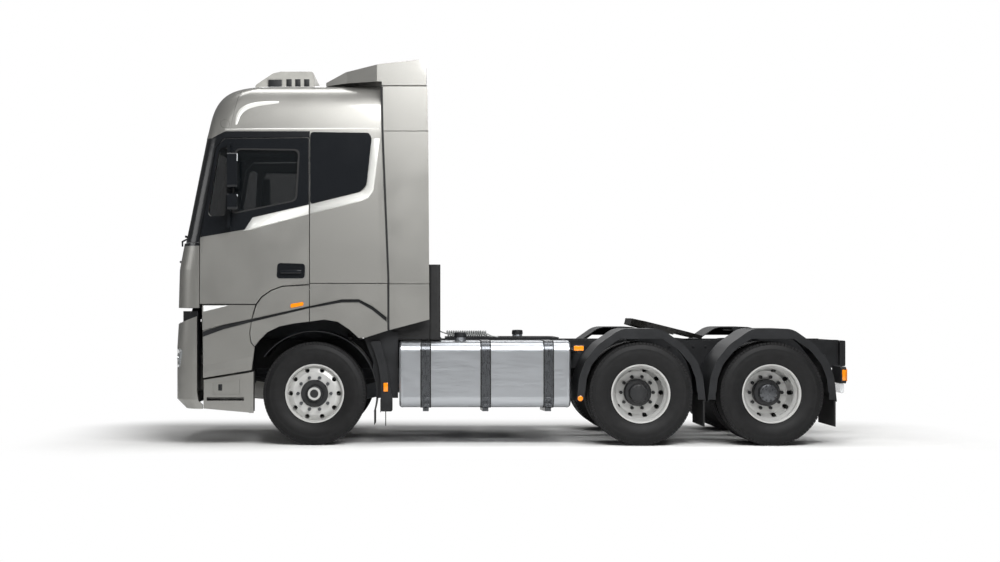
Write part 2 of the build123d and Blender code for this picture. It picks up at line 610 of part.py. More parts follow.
# Plan sections of the cab shell. Columns: height, front x, half width, corner radius, rear x
cab_rows = [(cab_bottom, -1466, half_width, 250, 752), (1790, -1455, half_width, 250, 749),
            (2068, -1403, half_width, 240, 742), (screen_top_z, -1177, half_width - 13, 200, 692)]
roof_rows = [cab_rows[-1], (3280, -1140, half_width - 23, 215, 686), (3443, -1090, half_width - 47, 240, 682),
             (3570, -1005, half_width - 90, 260, 680), (3650, -880, half_width - 160, 280, 678),
             (3700, -640, half_width - 345, 300, 676)]
door_outline = [(door_front_x, door_sill_z), (door_front_x, belt_z), (-1144, 2190), (-997, 3022), (-911, 3123),
                (door_rear_x - 20, door_top_z), (door_rear_x, door_top_z - 20), (door_rear_x, 1638), (-318, 1622),
                (-434, 1579), (-531, 1511), (-586, door_sill_z)]
door_pane = [(-840, 2347), (-170, 2484), (-140, 3012), (-799, 3022)]
quarter_pane = [(-1075, 2330), (-900, 2330), (-862, 3026), (-962, 3026)]
sleeper_pane = [(20, 2505), (485, 2640), (520, 3070), (20, 3070)]
arch_curve = [(-594, 1430), (-636, 1278), (-655, 1143), (-641, 1045), (-604, 1004)]
arch_lip = [(-551, 1075), (-475, 1152), (-357, 1211), (-200, 1243), (-44, 1263)]
rear_lip = [(-44, 1263), (108, 1283), (244, 1259), (361, 1181), (458, 1095), (526, 1100), (752, 1172)]


def shell_between(outer, inner):
    """Cab skin between two insets from the outside surface, open at the bottom."""
    def body(inset, top_drop):
        z, *rest = cab_rows[0]
        rows = [(z - 20, *rest), *cab_rows] if inset else cab_rows
        low = [bow_section(*row, inset) for row in rows]
        start = roof_rows[0][0]
        rise = roof_rows[-1][0] - start
        high = [bow_section(start + (z - start) * (rise - top_drop) / rise, x, w, r, rear, inset)
                for z, x, w, r, rear in roof_rows]
        return lofted(low) + lofted(high, False)
    return body(outer, outer) - body(inner, inner)


def side_prism(points, radius=0.0, grow=0.0, side=-1):
    face = ring(points, radius)
    if grow:
        face = offset(face, grow, kind=Kind.INTERSECTION)
    return across(face, *sorted((side * (half_width - 445), side * side_clear)))


def add_cab():
    shell = shell_between(0.0, wall)
    glass = shell_between(12.0, 12.0 + glass_t)

    roof_zone = across(ring([(-1700, screen_top_z), (-1040, screen_top_z), (-900, roof_edge_z), (900, roof_edge_z),
                             (900, 3900), (-1700, 3900)]), -side_clear, side_clear)
    roof = shell & roof_zone
    body = shell - roof_zone
    screen_low, screen_high = half_width - 117, half_width - 145      # half widths of the screen opening
    screen_zone = along(ring([(-screen_low, screen_bottom_z), (screen_low, screen_bottom_z), (screen_high, screen_top_z),
                              (-screen_high, screen_top_z)]), -1700, -850)
    parts["cab_roof"] = roof
    parts["windscreen"] = glass & screen_zone
    body -= screen_zone
    back_zone = across(ring([(752 - wall, 1300), (692 - wall - 4, 3300), (900, 3300), (900, 1300)]), -side_clear, side_clear)
    back_wall = body & back_zone
    body -= back_zone
    front_zone = block(-1700, door_front_x - 4, -side_clear, side_clear, 1300, screen_bottom_z - seam)
    parts["front_panel"] = body & front_zone
    body -= block(-1700, door_front_x + 1, -side_clear, side_clear, 1300, screen_bottom_z)
    low_zone = [(door_front_x - 4, 1300), (door_front_x - 4, door_sill_z + 4), (-590, door_sill_z + 4), (-535, 1515),
                (-438, 1583), (-320, 1626), (door_rear_x, arch_seam_z + seam), (900, arch_seam_z + seam), (900, 1300)]
    parts["cab_back_wall"] = back_wall - side_prism(low_zone) - mirrored(side_prism(low_zone))
    sides = {}
    for side, name in ((-1, "left"), (1, "right")):
        door_zone = side_prism(door_outline, side=side)
        panes = [side_prism(points, 45, side=side) for points in (door_pane, quarter_pane)]
        bunk_pane = side_prism(sleeper_pane, 45, side=side)
        half = block(-1700, 900, *sorted((0, side * side_clear)), 1300, 3400)
        door = (body & half) & side_prism(door_outline, grow=-seam / 2, side=side)
        # Nose of the door bevelled, so that it turns about the hinge line inside the panel gap
        nose = [(door_front_x - 6, 16), (door_front_x - 6, -10), (door_front_x + 20, 16)]
        door -= upward(ring([(x, side * (half_width + y)) for x, y in nose]), cab_bottom, belt_z + 91)
        # Bore for the lower hinge pin
        door -= rod_z(hinge_x, side * hinge_y, cab_bottom, door_sill_z + 60, hinge_pin_r)
        window = (glass & panes[0]) + (glass & panes[1])
        for pane in panes:
            door -= pane
        parts[f"door_{name}"] = door
        parts[f"door_glass_{name}"] = group(window)
        flank = (body & half) - side_prism(door_outline, grow=seam / 2, side=side)
        sides[name] = flank - side_prism(low_zone, side=side) - bunk_pane
        sides[name + "_glass"] = glass & bunk_pane
    parts["cab_sides"] = group(sides["left"], sides["right"])
    parts["bunk_windows"] = group(sides["left_glass"], sides["right_glass"])

    # Floor with the two tilt lugs under its front edge
    inside = lofted([bow_section(z, x, w, r, rear, wall) for z, x, w, r, rear in cab_rows])
    floor = inside & block(-1700, 900, -side_clear, side_clear, cab_bottom, cab_bottom + floor_t)
    for side in (-1, 1):
        y_in, y_out = sorted((side * tilt_lug_y, side * (tilt_lug_y + tilt_lug_t)))
        lug = across(ring([(tilt_x + 10, cab_bottom + 5), (tilt_x - 40, tilt_z), (tilt_x + 40, tilt_z),
                           (tilt_x + 130, cab_bottom + 5)]), y_in, y_out)
        lug += rod_y(tilt_x, tilt_z, y_in, y_out, 40)
        floor += lug - rod_y(tilt_x, tilt_z, y_in - 1, y_out + 1, tilt_pin_r + run_gap)
    parts["cab_floor"] = floor


def add_cladding():
    # Step panel and the two arch panels, one set per side, as thick as the cab wall
    y_in, y_out = -half_width, wall - half_width
    step = across(ring([(-1133, 1430), *arch_curve, (-633, 770), (-1123, 690)]), y_in, y_out)
    fore = across(ring([(door_rear_x - 4, 1630), (-318, 1614), (-429, 1573), (-524, 1506), (-579, 1430), (-628, 1274),
                        (-647, 1143), (-633, 1052), (-600, 1012), *arch_lip[:-1], (-48, 1262)]), y_in, y_out)
    aft = across(ring([(door_rear_x + 4, 1263), *rear_lip[1:-1], (750, 1172), (742, arch_seam_z),
                       (door_rear_x + 4, arch_seam_z)]), y_in, y_out)
    groove = [(-1150, 1171), (-1150, 1097), (-918, 1180), (-636, 1254), (-49, 1395), (283, 1453), (458, 1453), (594, 1375),
              (790, 1215), (790, 1270), (594, 1420), (458, 1490), (283, 1490), (-49, 1420), (-636, 1290), (-918, 1233)]
    cut = across(ring(groove), y_in - 1, y_in + 26)
    # The step panel is drawn in between the groove and a ledge that slopes along its foot
    ledge = Face(Polyline((-1170, y_in - 1, 738), (-1170, y_in + 18, 806), (-1170, y_in + 18, 1400),
                          (-1170, y_in - 1, 1400), close=True).wire())
    drawn_in = extrude(ledge, 640, dir=(0.984, 0, 0.18)) & across(
        ring([(-1170, 700), (-1170, 1090), (-918, 1180), (-636, 1254), (-560, 1272), (-560, 700)]), y_in - 2, y_in + 40)
    parts["lower_cladding"] = both(group(step - cut - drawn_in, fore - cut, aft - cut))

    # Side fairings behind the cab, each on a return flange against the back wall
    outline = [(768, 1176), (1172, 1283), (1160, 3200), (1152, 3646), (700, 3646), (704, 3194), (760, 1700)]
    plate = across(ring(outline), y_in, y_in + 40)
    for z in (arch_seam_z, roof_edge_z):
        plate -= block(600, 1300, y_in - 1, y_in + 18, z - 4, z + 4)
    flange = across(ring([(751.6, 1660), (749, 1790), (742, 2068), (692, screen_top_z), (742, screen_top_z), (802, 1660)]),
                    y_in + 30, y_in + 165)
    parts["side_fairings"] = both(plate + flange)


def add_roof_kit():
    # Wind deflector: a hollow hood, open at the rear and below, standing on the roof and the fairings
    def hood(inset):
        # Side profile and plan of the hood, drawn in by the wall thickness for its hollow
        low = 100.0 if inset else 0.0
        open_end = 60.0 if inset else 0.0
        side = ring([(100 + 3 * inset, 3700 - low), (100 + 3 * inset, 3735 - inset), (310 + inset, 3812 - inset),
                     (680, 3880 - inset), (1140 + open_end, 3927 - inset), (1140 + open_end, 3662 - low),
                     (690, 3662 - low), (690, 3700 - low)])
        edge = half_width - inset
        plan = [(100 + 3 * inset, edge - 345), (330, edge - 135), (640, edge - 20), (1200, edge - 5)]
        plan_face = ring([(x, -y) for x, y in plan] + plan[::-1])
        return across(side, -side_clear, side_clear) & upward(plan_face, 3500, 4000)
    parts["roof_deflector"] = hood(0.0) - hood(28.0)

    unit = across(ring([(-690, 3700), (-690, 3785), (-500, 3912), (-420, 3930), (-60, 3930), (-60, 3700)],
                       [1, 40, 60, 60, 40, 1]), -450, 450)
    parts["roof_unit"] = unit


def add_mirrors():
    arm_y = half_width + 73.0
    arm = block(-865, -837, arm_y, arm_y + 26, 2206, 3070)
    for z in (2220, 3056):
        arm += block(-865, -837, half_width - 45, arm_y + 12, z - 14, z + 14)
    for low, high, out in ((2600, 2950, arm_y + 182), (2380, 2545, arm_y + 172)):
        head = block(-845, -745, arm_y - 8, out, low, high)
        arm += fillet(head.edges().filter_by(Axis.X), 32)
    (z_low, _, w_low, *_), (z_high, _, w_high, *_) = cab_rows[-2:]
    inside_y = half_width - 145
    arm -= along(ring([(w_low, z_low), (w_high, z_high), (inside_y, z_high), (inside_y, z_low)]), -1000, -700)
    parts["mirror_right"] = arm
    parts["mirror_left"] = mirrored(parts["mirror_right"])


def add_interior():
    seats = []
    base_z = cab_bottom + floor_t
    for side in (-1, 1):
        y_mid = side * 620
        seat = block(-620, -100, y_mid - 260, y_mid + 260, base_z + 250, base_z + 400) + block(
            -450, -250, y_mid - 140, y_mid + 140, base_z, base_z + 260)
        seat += across(ring([(-230, base_z + 380), (-100, base_z + 380), (10, base_z + 1150), (-90, base_z + 1150)], 25),
                       y_mid - 250, y_mid + 250)
        seats.append(seat)
    parts["seats"] = group(*seats)
    bunk = block(110, 640, 165 - half_width, half_width - 165, base_z, base_z + 420)
    parts["bunk"] = fillet(bunk.edges().filter_by(Axis.Y), 40)
    dash = across(ring([(-1240, 1960), (-1240, 2060), (-1060, 2110), (-950, 2000), (-1000, 1900)], 30),
                  215 - half_width, half_width - 215)
    dash += block(-1230, -1130, -320, 320, base_z, 1980)
    column = Edge.make_line((-1050, -620, 1950), (-850, -620, 2130))
    tube = extrude(Plane(origin=column @ 0, z_dir=column % 0) * Circle(34), column.length)
    wheel_plane = Plane(origin=column @ 1, z_dir=column % 1)
    wheel = Torus(225, 16)
    spokes = Box(440, 46, 16) + Cylinder(60, 40)
    parts["dashboard"] = dash + tube + wheel_plane.location * (wheel + spokes)


def export_all():
    os.makedirs("parts", exist_ok=True)
    shift = Pos(front_overhang - length / 2, 0, 0)
    for name, shape in parts.items():
        export_step(shift * shape, f"parts/{name}.step")


for step in (add_wheels, add_running_gear, add_frame, add_tanks, add_bumper, add_steps, add_mudguards, add_lamps,
             add_fifth_wheel, add_cab, add_cladding, add_roof_kit, add_mirrors, add_interior):
    step()
export_all()
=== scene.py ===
# %% [markdown]
# # A tractor unit, dressed for the camera
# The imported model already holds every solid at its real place. This lesson loads it, gives each surface the
# finish of the real thing, and adds what is too small or too fussy for the solids: tread, nuts, trim and lamps.

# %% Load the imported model
import json
import math

import bmesh
import bpy
from mathutils import Matrix, Vector
from mathutils.bvhtree import BVHTree
from mathutils.geometry import tessellate_polygon


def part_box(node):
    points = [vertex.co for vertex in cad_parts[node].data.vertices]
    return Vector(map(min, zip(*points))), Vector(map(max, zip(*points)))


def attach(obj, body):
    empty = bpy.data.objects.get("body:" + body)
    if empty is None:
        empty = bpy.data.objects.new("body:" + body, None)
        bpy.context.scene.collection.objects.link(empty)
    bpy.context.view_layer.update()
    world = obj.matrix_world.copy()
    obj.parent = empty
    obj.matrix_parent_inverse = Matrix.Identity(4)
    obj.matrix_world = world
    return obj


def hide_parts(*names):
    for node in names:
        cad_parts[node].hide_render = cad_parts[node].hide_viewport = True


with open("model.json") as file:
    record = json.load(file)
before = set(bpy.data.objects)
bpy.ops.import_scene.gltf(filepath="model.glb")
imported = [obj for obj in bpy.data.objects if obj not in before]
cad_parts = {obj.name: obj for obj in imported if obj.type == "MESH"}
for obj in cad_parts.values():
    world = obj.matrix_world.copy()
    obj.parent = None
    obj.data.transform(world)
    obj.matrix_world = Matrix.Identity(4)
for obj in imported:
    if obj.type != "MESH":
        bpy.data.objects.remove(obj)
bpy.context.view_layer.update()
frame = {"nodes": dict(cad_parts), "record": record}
nodes = frame["nodes"]
joint_at = {joint["name"]: Vector(joint["pos_m"]) for joint in frame["record"]["behaviour"]["joints"]}
axle_x = [joint_at[name].x for name in ("spin_front_left", "spin_drive_1_left", "spin_drive_2_left")]
half_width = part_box("cab_sides")[1][1]
print("axles at x", [round(v, 3) for v in axle_x], "and the cab's side at y", round(half_width, 3))

# %% [markdown]
# ## Finishes
# Every finish starts from what the real surface is and how it was made. One helper adds a node with its settings
# and links. Another turns a colour from a paint chart, written as sRGB hex, into the linear numbers Blender uses.
# Real surfaces are never even, so a finish can carry up to three patterns of noise: patches of tint, patches of
# gloss and a raised skin. Each is given by the real size of its blobs in millimetres.

# %% Helpers for materials
def linear(hex_colour, alpha=1.0):
    channels = [int(hex_colour[i:i + 2], 16) / 255 for i in (1, 3, 5)]
    return (*[c / 12.92 if c <= 0.04045 else ((c + 0.055) / 1.055) ** 2.4 for c in channels], alpha)


def add(tree, kind, settings=None, inputs=None):
    """One node: settings are its own properties, inputs are socket values or the sockets that feed them."""
    node = tree.nodes.new(kind)
    for key, value in (settings or {}).items():
        setattr(node, key, value)
    for key, value in (inputs or {}).items():
        if isinstance(value, bpy.types.NodeSocket):
            tree.links.new(value, node.inputs[key])
        else:
            node.inputs[key].default_value = value
    return node


def finish(name, colour, roughness, metallic=0.0, tints=None, gloss=None, skin=None, **sockets):
    """A material with one shader and its patterns.

    tints is (blob mm, dark, light), gloss is (blob mm, low roughness, high roughness) and skin is (blob mm,
    depth mm). Each may end with the noise's detail, and then its stretch along x, y and z.
    """
    material = bpy.data.materials.new(name)
    material.use_nodes = True
    tree = material.node_tree
    shader = tree.nodes["Principled BSDF"]
    shader.inputs["Base Color"].default_value = linear(colour)
    shader.inputs["Roughness"].default_value = roughness
    shader.inputs["Metallic"].default_value = metallic
    for key, value in sockets.items():
        shader.inputs[key.replace("_", " ")].default_value = value
    for target, pattern, length in (("Base Color", tints, 3), ("Roughness", gloss, 3), ("Normal", skin, 2)):
        if pattern is None:
            continue
        blob_mm, *ends = pattern[:length]
        detail, stretch = (*pattern[length:], *(4.0, (1, 1, 1))[len(pattern) - length:])
        place = add(tree, "ShaderNodeTexCoord").outputs["Object"]
        turned = add(tree, "ShaderNodeMapping", inputs={"Vector": place, "Scale": stretch}).outputs["Vector"]
        noise = add(tree, "ShaderNodeTexNoise",
                    inputs={"Vector": turned, "Scale": 1000 / blob_mm, "Detail": detail}).outputs["Fac"]
        if target == "Normal":
            made = add(tree, "ShaderNodeBump", inputs={"Height": noise, "Distance": ends[0] / 1000, "Strength": 1.0})
            tree.links.new(made.outputs["Normal"], shader.inputs["Normal"])
            continue
        low, high = ends if target == "Roughness" else (0, 1)
        spread = add(tree, "ShaderNodeMapRange", inputs={"Value": noise, "From Min": 0.35, "From Max": 0.65,
                                                         "To Min": low, "To Max": high}).outputs["Result"]
        if target == "Base Color":
            dark, light = (linear(end) for end in ends)
            spread = add(tree, "ShaderNodeMix", {"data_type": "RGBA"}, {0: spread, 6: dark, 7: light}).outputs[2]
        tree.links.new(spread, shader.inputs[target])
    return material, tree, shader


print("material helpers ready")

# %% [markdown]
# Metallic coach paint: aluminium flake in a warm grey base under a clear lacquer. The flake is far finer than a
# pixel, so it is drawn a few millimetres wide and faint, and the lacquer carries the sharp reflections. Where the
# panels fold, the paint faces the sky and reads almost white; the folds wear a paler, lit copy of the same paint,
# which is a painted highlight.

# %% Coach paint
paint_grey = "#94938F"
coach_paint, *_ = finish("silver_grey_coach_paint", paint_grey, 0.36, 0.66, tints=(3.0, "#8F8E8A", "#999894", 2.0),
                         gloss=(420, 0.33, 0.41), Coat_Weight=0.8, Coat_Roughness=0.06)
# A paler, lit copy of the coach paint for the folds that face the sky: painted highlight.
highlight_paint, *_ = finish("painted_highlight_silver", "#D9D9D5", 0.4, 0.25, gloss=(420, 0.36, 0.44), Coat_Weight=0.4)
print("paints:", coach_paint.name, highlight_paint.name)

# %% [markdown]
# Moulded plastics: the mudguards and steps are grained polypropylene, which looks soft black; the window band and
# the mirrors are gloss black acrylic; the roof cooler is a satin plastic. Grain is about 1 mm, drawn at 3 mm.
# Rubber is duller: a tyre's cured skin has a faint shine, a rolled flap has none.

# %% Plastics and rubber
guard_plastic, *_ = finish("grained_black_polypropylene", "#18191B", 0.5, tints=(180, "#151618", "#1E1F21"),
                           skin=(3.0, 0.25), Specular_IOR_Level=0.3)
band_gloss, *_ = finish("gloss_black_acrylic", "#15171A", 0.12, gloss=(260, 0.1, 0.16), Specular_IOR_Level=0.35)
cooler_plastic, *_ = finish("satin_grey_moulded_plastic", "#9A9994", 0.45, tints=(90, "#94938E", "#A09F9A"),
                            skin=(3.5, 0.15))
tyre_rubber, *_ = finish("cured_tyre_rubber", "#101011", 0.62, tints=(60, "#0A0A0B", "#111112"), skin=(2.5, 0.2),
                         Specular_IOR_Level=0.3)
flap_rubber, *_ = finish("rolled_flap_rubber", "#0D0D0E", 0.75, tints=(45, "#0B0B0C", "#121213"))
print("plastics and rubber: 5 finishes")

# %% [markdown]
# Metals: the tank is rolled aluminium brushed along its length, so its gloss is streaked that way. The wheels are
# silver-painted pressed steel, the straps are darkened stainless, and the frame and axles wear a thick satin black
# chassis paint with a slight orange-peel skin. The coupling plate is steel under old grease, dark and patchy.

# %% Metals
tank_metal, *_ = finish("brushed_rolled_aluminium", "#AEB1B5", 0.36, 1.0, gloss=(10, 0.31, 0.42, 3.0, (0.05, 1, 1)))
wheel_paint, *_ = finish("silver_wheel_enamel", "#C6C6C4", 0.34, 0.5, gloss=(40, 0.3, 0.42), skin=(6.0, 0.12))
strap_metal, *_ = finish("brushed_stainless_strap", "#5C5E61", 0.3, 1.0, gloss=(5, 0.22, 0.4, 2.0, (1, 0.1, 0.1)))
chassis_paint, *_ = finish("black_chassis_paint", "#111214", 0.5, tints=(110, "#0E0F11", "#17181A"),
                           skin=(9.0, 0.3), Specular_IOR_Level=0.3)
engine_casting, *_ = finish("painted_iron_casting", "#4B4E52", 0.6, skin=(5.0, 0.6))
greased_steel, *_ = finish("greased_plate_steel", "#1E1E1D", 0.45, 0.4, tints=(70, "#171716", "#262523"),
                           gloss=(35, 0.25, 0.55))
bright_metal, *_ = finish("bright_chrome_plate", "#D5D6D8", 0.07, 1.0, gloss=(60, 0.05, 0.1))
mirror_glass, *_ = finish("silvered_mirror_glass", "#E4E7EA", 0.02, 1.0)
print("metals: 8 finishes")

# %% [markdown]
# Glass and lenses: laminated tinted glass reads almost black from outside, so it is a dark see-through sheet with
# a hard gloss. Lamp lenses are moulded acrylic: clear, amber and red, the coloured ones with a pimpled inside.
# Seat cloth is woven and stitched in diagonal ribs about 29 mm apart. Its threads are too fine to show, so a soft
# sheen stands for them.

# %% Glass, lenses and cloth
tinted_glass, *_ = finish("tinted_laminated_glass", "#101315", 0.02, gloss=(700, 0.015, 0.03), IOR=1.5, Alpha=0.62)
clear_lens, *_ = finish("clear_lamp_acrylic", "#E9EDF0", 0.05, IOR=1.49, Alpha=0.35)
amber_lens, *_ = finish("amber_lamp_acrylic", "#F08A10", 0.12, skin=(8.0, 0.6, 0.0), IOR=1.49, Coat_Weight=0.4)
red_lens, *_ = finish("red_lamp_acrylic", "#B01414", 0.12, skin=(8.0, 0.6, 0.0), IOR=1.49, Coat_Weight=0.4)
seat_cloth, tree, shader = finish("woven_seat_cloth", "#77787A", 0.9, Sheen_Weight=0.3)
rib_scale, rib_deep = 12.5, 0.0005         # one rib each 29 mm, half a millimetre deep
place = add(tree, "ShaderNodeTexCoord").outputs["Object"]
weave = add(tree, "ShaderNodeTexWave", {"bands_direction": "DIAGONAL"},
            {"Vector": place, "Scale": rib_scale, "Distortion": 1.0}).outputs["Fac"]
bump = add(tree, "ShaderNodeBump", inputs={"Height": weave, "Distance": rib_deep, "Strength": 1.0})
tree.links.new(bump.outputs["Normal"], shader.inputs["Normal"])
print("glass, lenses and cloth: 5 finishes")

# %% Finishes on the carried-over nodes
node_finish = {
    coach_paint: ["cab_roof", "cab_sides", "cab_back_wall", "front_panel", "door_left", "door_right",
                  "side_fairings", "roof_deflector", "lower_cladding", "bumper", "step_boxes"],
    tinted_glass: ["windscreen", "bunk_windows", "door_glass_left", "door_glass_right"],
    clear_lens: ["headlamps"],
    guard_plastic: ["mudguards", "tail_lamps", "bumper_filler", "dashboard"],
    band_gloss: ["mirror_left", "mirror_right"],
    cooler_plastic: ["roof_unit"],
    flap_rubber: ["mud_flaps", "air_intake"],
    seat_cloth: ["seats", "bunk"],
    tank_metal: ["fuel_tanks", "silencer_box"],
    strap_metal: ["tank_carriers"],
    chassis_paint: ["frame_rails", "crossmembers", "front_axle_beam", "leaf_springs", "drive_axles",
                    "propeller_shafts", "knuckle_left", "knuckle_right", "track_rod", "fifth_wheel_base",
                    "cab_floor", "walkway"],
    engine_casting: ["engine"],
    greased_steel: ["fifth_wheel_plate"],
    tyre_rubber: [name for name in nodes if name.startswith("tyre")],
    wheel_paint: [name for name in nodes if name.startswith("wheel")],
}
for material, names in node_finish.items():
    for name in names:
        nodes[name].data.materials.clear()
        nodes[name].data.materials.append(material)
print("finished", sum(len(names) for names in node_finish.values()), "of", len(nodes), "nodes")

# %% [markdown]
# ## Making pieces
# The truck's own measure runs back from the front axle in millimetres, so sizes read as on a drawing. Every added
# piece is one mesh that rides on a body and is smooth apart from its real edges, so one helper finishes them all.

# %% Helpers for pieces
sides = (("left", -1), ("right", 1))


def point(x_mm, y_mm, z_mm):
    return Vector((axle_x[0] + x_mm / 1000, y_mm / 1000, z_mm / 1000))


def make_piece(name, form, material, body, smooth_deg=35.0):
    """Turns a bmesh, or a mesh from a node tree, into a finished piece that rides on a body."""
    mesh = form
    if isinstance(form, bmesh.types.BMesh):
        bmesh.ops.remove_doubles(form, verts=form.verts, dist=1e-5)
        bmesh.ops.recalc_face_normals(form, faces=form.faces)
        mesh = bpy.data.meshes.new(name)
        form.to_mesh(mesh)
        form.free()
    mesh.polygons.foreach_set("use_smooth", [True] * len(mesh.polygons))
    mesh.set_sharp_from_angle(angle=math.radians(smooth_deg))
    if material.name not in mesh.materials:
        mesh.materials.append(material)
    piece = bpy.data.objects.new(name, mesh)
    bpy.context.collection.objects.link(piece)
    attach(piece, body)
    return piece


print("the front axle, where x is 0 mm, lies at", round(point(0, 0, 0).x, 3), "m")

# %% [markdown]
# Tyres, hubs, caps and bolt heads are round. A lathe turns a profile about an axis, and this does the same: the
# profile is a list of radius and y, joined step by step into faces. A point on the axis closes a face to a triangle.

# %% Turned shapes
def add_turned(form, profile_mm, centre, outward=1, steps=72):
    """Profile of (radius, y) points turned about the y axis through centre."""
    rings = []
    for step in range(steps):
        angle = math.tau * step / steps
        rings.append([form.verts.new(centre + Vector((r * math.cos(angle), outward * y, r * math.sin(angle))) / 1000)
                      for r, y in profile_mm])
    for step in range(steps):
        here, there = rings[step], rings[(step + 1) % steps]
        for i in range(len(profile_mm) - 1):
            corners = [here[i], here[i + 1], there[i + 1], there[i]]
            if profile_mm[i][0] == 0:
                corners = [here[i], here[i + 1], there[i + 1]]
            elif profile_mm[i + 1][0] == 0:
                corners = [here[i], here[i + 1], there[i]]
            form.faces.new(corners)


def add_turned_at(form, profile_mm, place, steps=32):
    """A shape turned at the origin, then set in place by a matrix."""
    start = len(form.verts)
    add_turned(form, profile_mm, Vector((0, 0, 0)), 1, steps)
    form.verts.ensure_lookup_table()
    bmesh.ops.transform(form, matrix=place, verts=form.verts[start:])


print("lathe ready")

# %% [markdown]
# ## Rings of nuts, bolts and tread bars
# Wheel nuts, flange bolts and the bars of the tread all repeat round a circle, so one Geometry Nodes tree makes them:
# a circle of points, a small part on each point turned outwards, then realized. Its sizes are named inputs. The grille
# further on starts and ends its tree in the same way.

# %% Geometry Nodes: a part repeated round a circle
def start_tree(name, labels):
    """A tree with a named input for each size and one for the material."""
    tree = bpy.data.node_groups.new(name, "GeometryNodeTree")
    for label in labels:
        kind = "NodeSocketInt" if label == "Count" else "NodeSocketFloat"
        tree.interface.new_socket(label, in_out="INPUT", socket_type=kind)
    tree.interface.new_socket("Material", in_out="INPUT", socket_type="NodeSocketMaterial")
    tree.interface.new_socket("Geometry", in_out="OUTPUT", socket_type="NodeSocketGeometry")
    return tree, add(tree, "NodeGroupInput").outputs


def end_tree(tree, given, spread):
    """Turns the instances into plain faces and gives them their material."""
    solid = add(tree, "GeometryNodeRealizeInstances", inputs={"Geometry": spread.outputs["Instances"]})
    dressed = add(tree, "GeometryNodeSetMaterial",
                  inputs={"Geometry": solid.outputs["Geometry"], "Material": given["Material"]})
    add(tree, "NodeGroupOutput", inputs={"Geometry": dressed.outputs["Geometry"]})


def ring_tree(name, build_part):
    """build_part(tree, inputs) returns the socket of the part that is repeated."""
    tree, given = start_tree(name, ("Count", "Radius", "Width", "Depth", "Height"))
    circle = add(tree, "GeometryNodeMeshCircle", inputs={"Vertices": given["Count"], "Radius": given["Radius"]})
    spot = add(tree, "GeometryNodeInputPosition")
    turn = add(tree, "FunctionNodeAlignRotationToVector", {"axis": "X"}, {"Vector": spot.outputs["Position"]})
    spread = add(tree, "GeometryNodeInstanceOnPoints",
                 inputs={"Points": circle.outputs["Mesh"], "Instance": build_part(tree, given),
                         "Rotation": turn.outputs["Rotation"]})
    end_tree(tree, given, spread)
    return tree


def hex_nut(tree, given):
    nut = add(tree, "GeometryNodeMeshCylinder", {"fill_type": "NGON"},
              {"Vertices": 6, "Radius": given["Width"], "Depth": given["Height"]})
    return nut.outputs["Mesh"]


def bar(tree, given):
    size = add(tree, "ShaderNodeCombineXYZ",
               inputs={"X": given["Depth"], "Y": given["Width"], "Z": given["Height"]})
    return add(tree, "GeometryNodeMeshCube", inputs={"Size": size.outputs["Vector"]}).outputs["Mesh"]


nut_ring, bar_ring = ring_tree("ring_of_nuts", hex_nut), ring_tree("ring_of_bars", bar)
print("ring trees:", nut_ring.name, bar_ring.name)

# %% From a tree to a mesh
def tree_mesh(tree, material, **sizes):
    """Evaluates a tree once, with its inputs set, and returns a plain mesh."""
    holder = bpy.data.objects.new("tree_maker", bpy.data.meshes.new("tree_maker"))
    bpy.context.collection.objects.link(holder)
    maker = holder.modifiers.new("tree", "NODES")
    maker.node_group = tree
    for item in tree.interface.items_tree:
        if item.in_out == "INPUT":
            value = sizes.get(item.name.lower(), material if item.name == "Material" else None)
            if value is not None:
                maker[item.identifier] = value
    ready = holder.evaluated_get(bpy.context.evaluated_depsgraph_get())
    mesh = bpy.data.meshes.new_from_object(ready)
    bpy.data.objects.remove(holder)
    return mesh


def add_ring(form, mesh, centre, outward, y_mm):
    """Stamps a ring mesh, turned about the truck's y axis, onto a wheel at y_mm from its centre plane."""
    start = len(form.verts)
    form.from_mesh(mesh)
    form.verts.ensure_lookup_table()
    shift = Matrix.Translation(centre + Vector((0, outward * y_mm / 1000, 0)))
    turn = Matrix.Rotation(math.radians(-90 * outward), 4, "X")
    bmesh.ops.transform(form, matrix=shift @ turn, verts=form.verts[start:])


shoulder_bars = tree_mesh(bar_ring, tyre_rubber, count=88, radius=0.510, width=0.0315, depth=0.027, height=0.036)
print("one ring of tread bars has", len(shoulder_bars.polygons), "faces")

# %% [markdown]
# ## Tyres
# A drive tyre is a turned body: bulging sidewalls with a few moulded rings, a flat crown cut by round grooves, and
# short bars across the shoulders. The turned part comes from one profile; the bars come from the ring tree.

# %% Tyre profile
tyre_r, bar_y = 527.0, 119
groove_deep, groove_half = 13.0, 6.0
side_profile = [(288, 100), (292, 111), (306, 118), (318, 119), (324, 124), (332, 124), (338, 128), (372, 141),
                (396, 147.5), (412, 149.5), (430, 149.2), (446, 147), (452, 148.4), (460, 148), (466, 145),
                (490, 140), (497, 136)]
crown = [(497, 118), (514, 116), (514, 112)]
for middle in (78, 28, -28, -78):
    crown += [(tyre_r - 1, middle + 20), (tyre_r, middle + groove_half + 2),
              (tyre_r - groove_deep, middle + groove_half), (tyre_r - groove_deep, middle - groove_half),
              (tyre_r, middle - groove_half - 2)]
crown += [(514, -112), (514, -116), (497, -118)]
tyre_profile = side_profile + crown + [(r, -y) for r, y in reversed(side_profile)] + side_profile[:1]
print("tyre profile of", len(tyre_profile), "points")

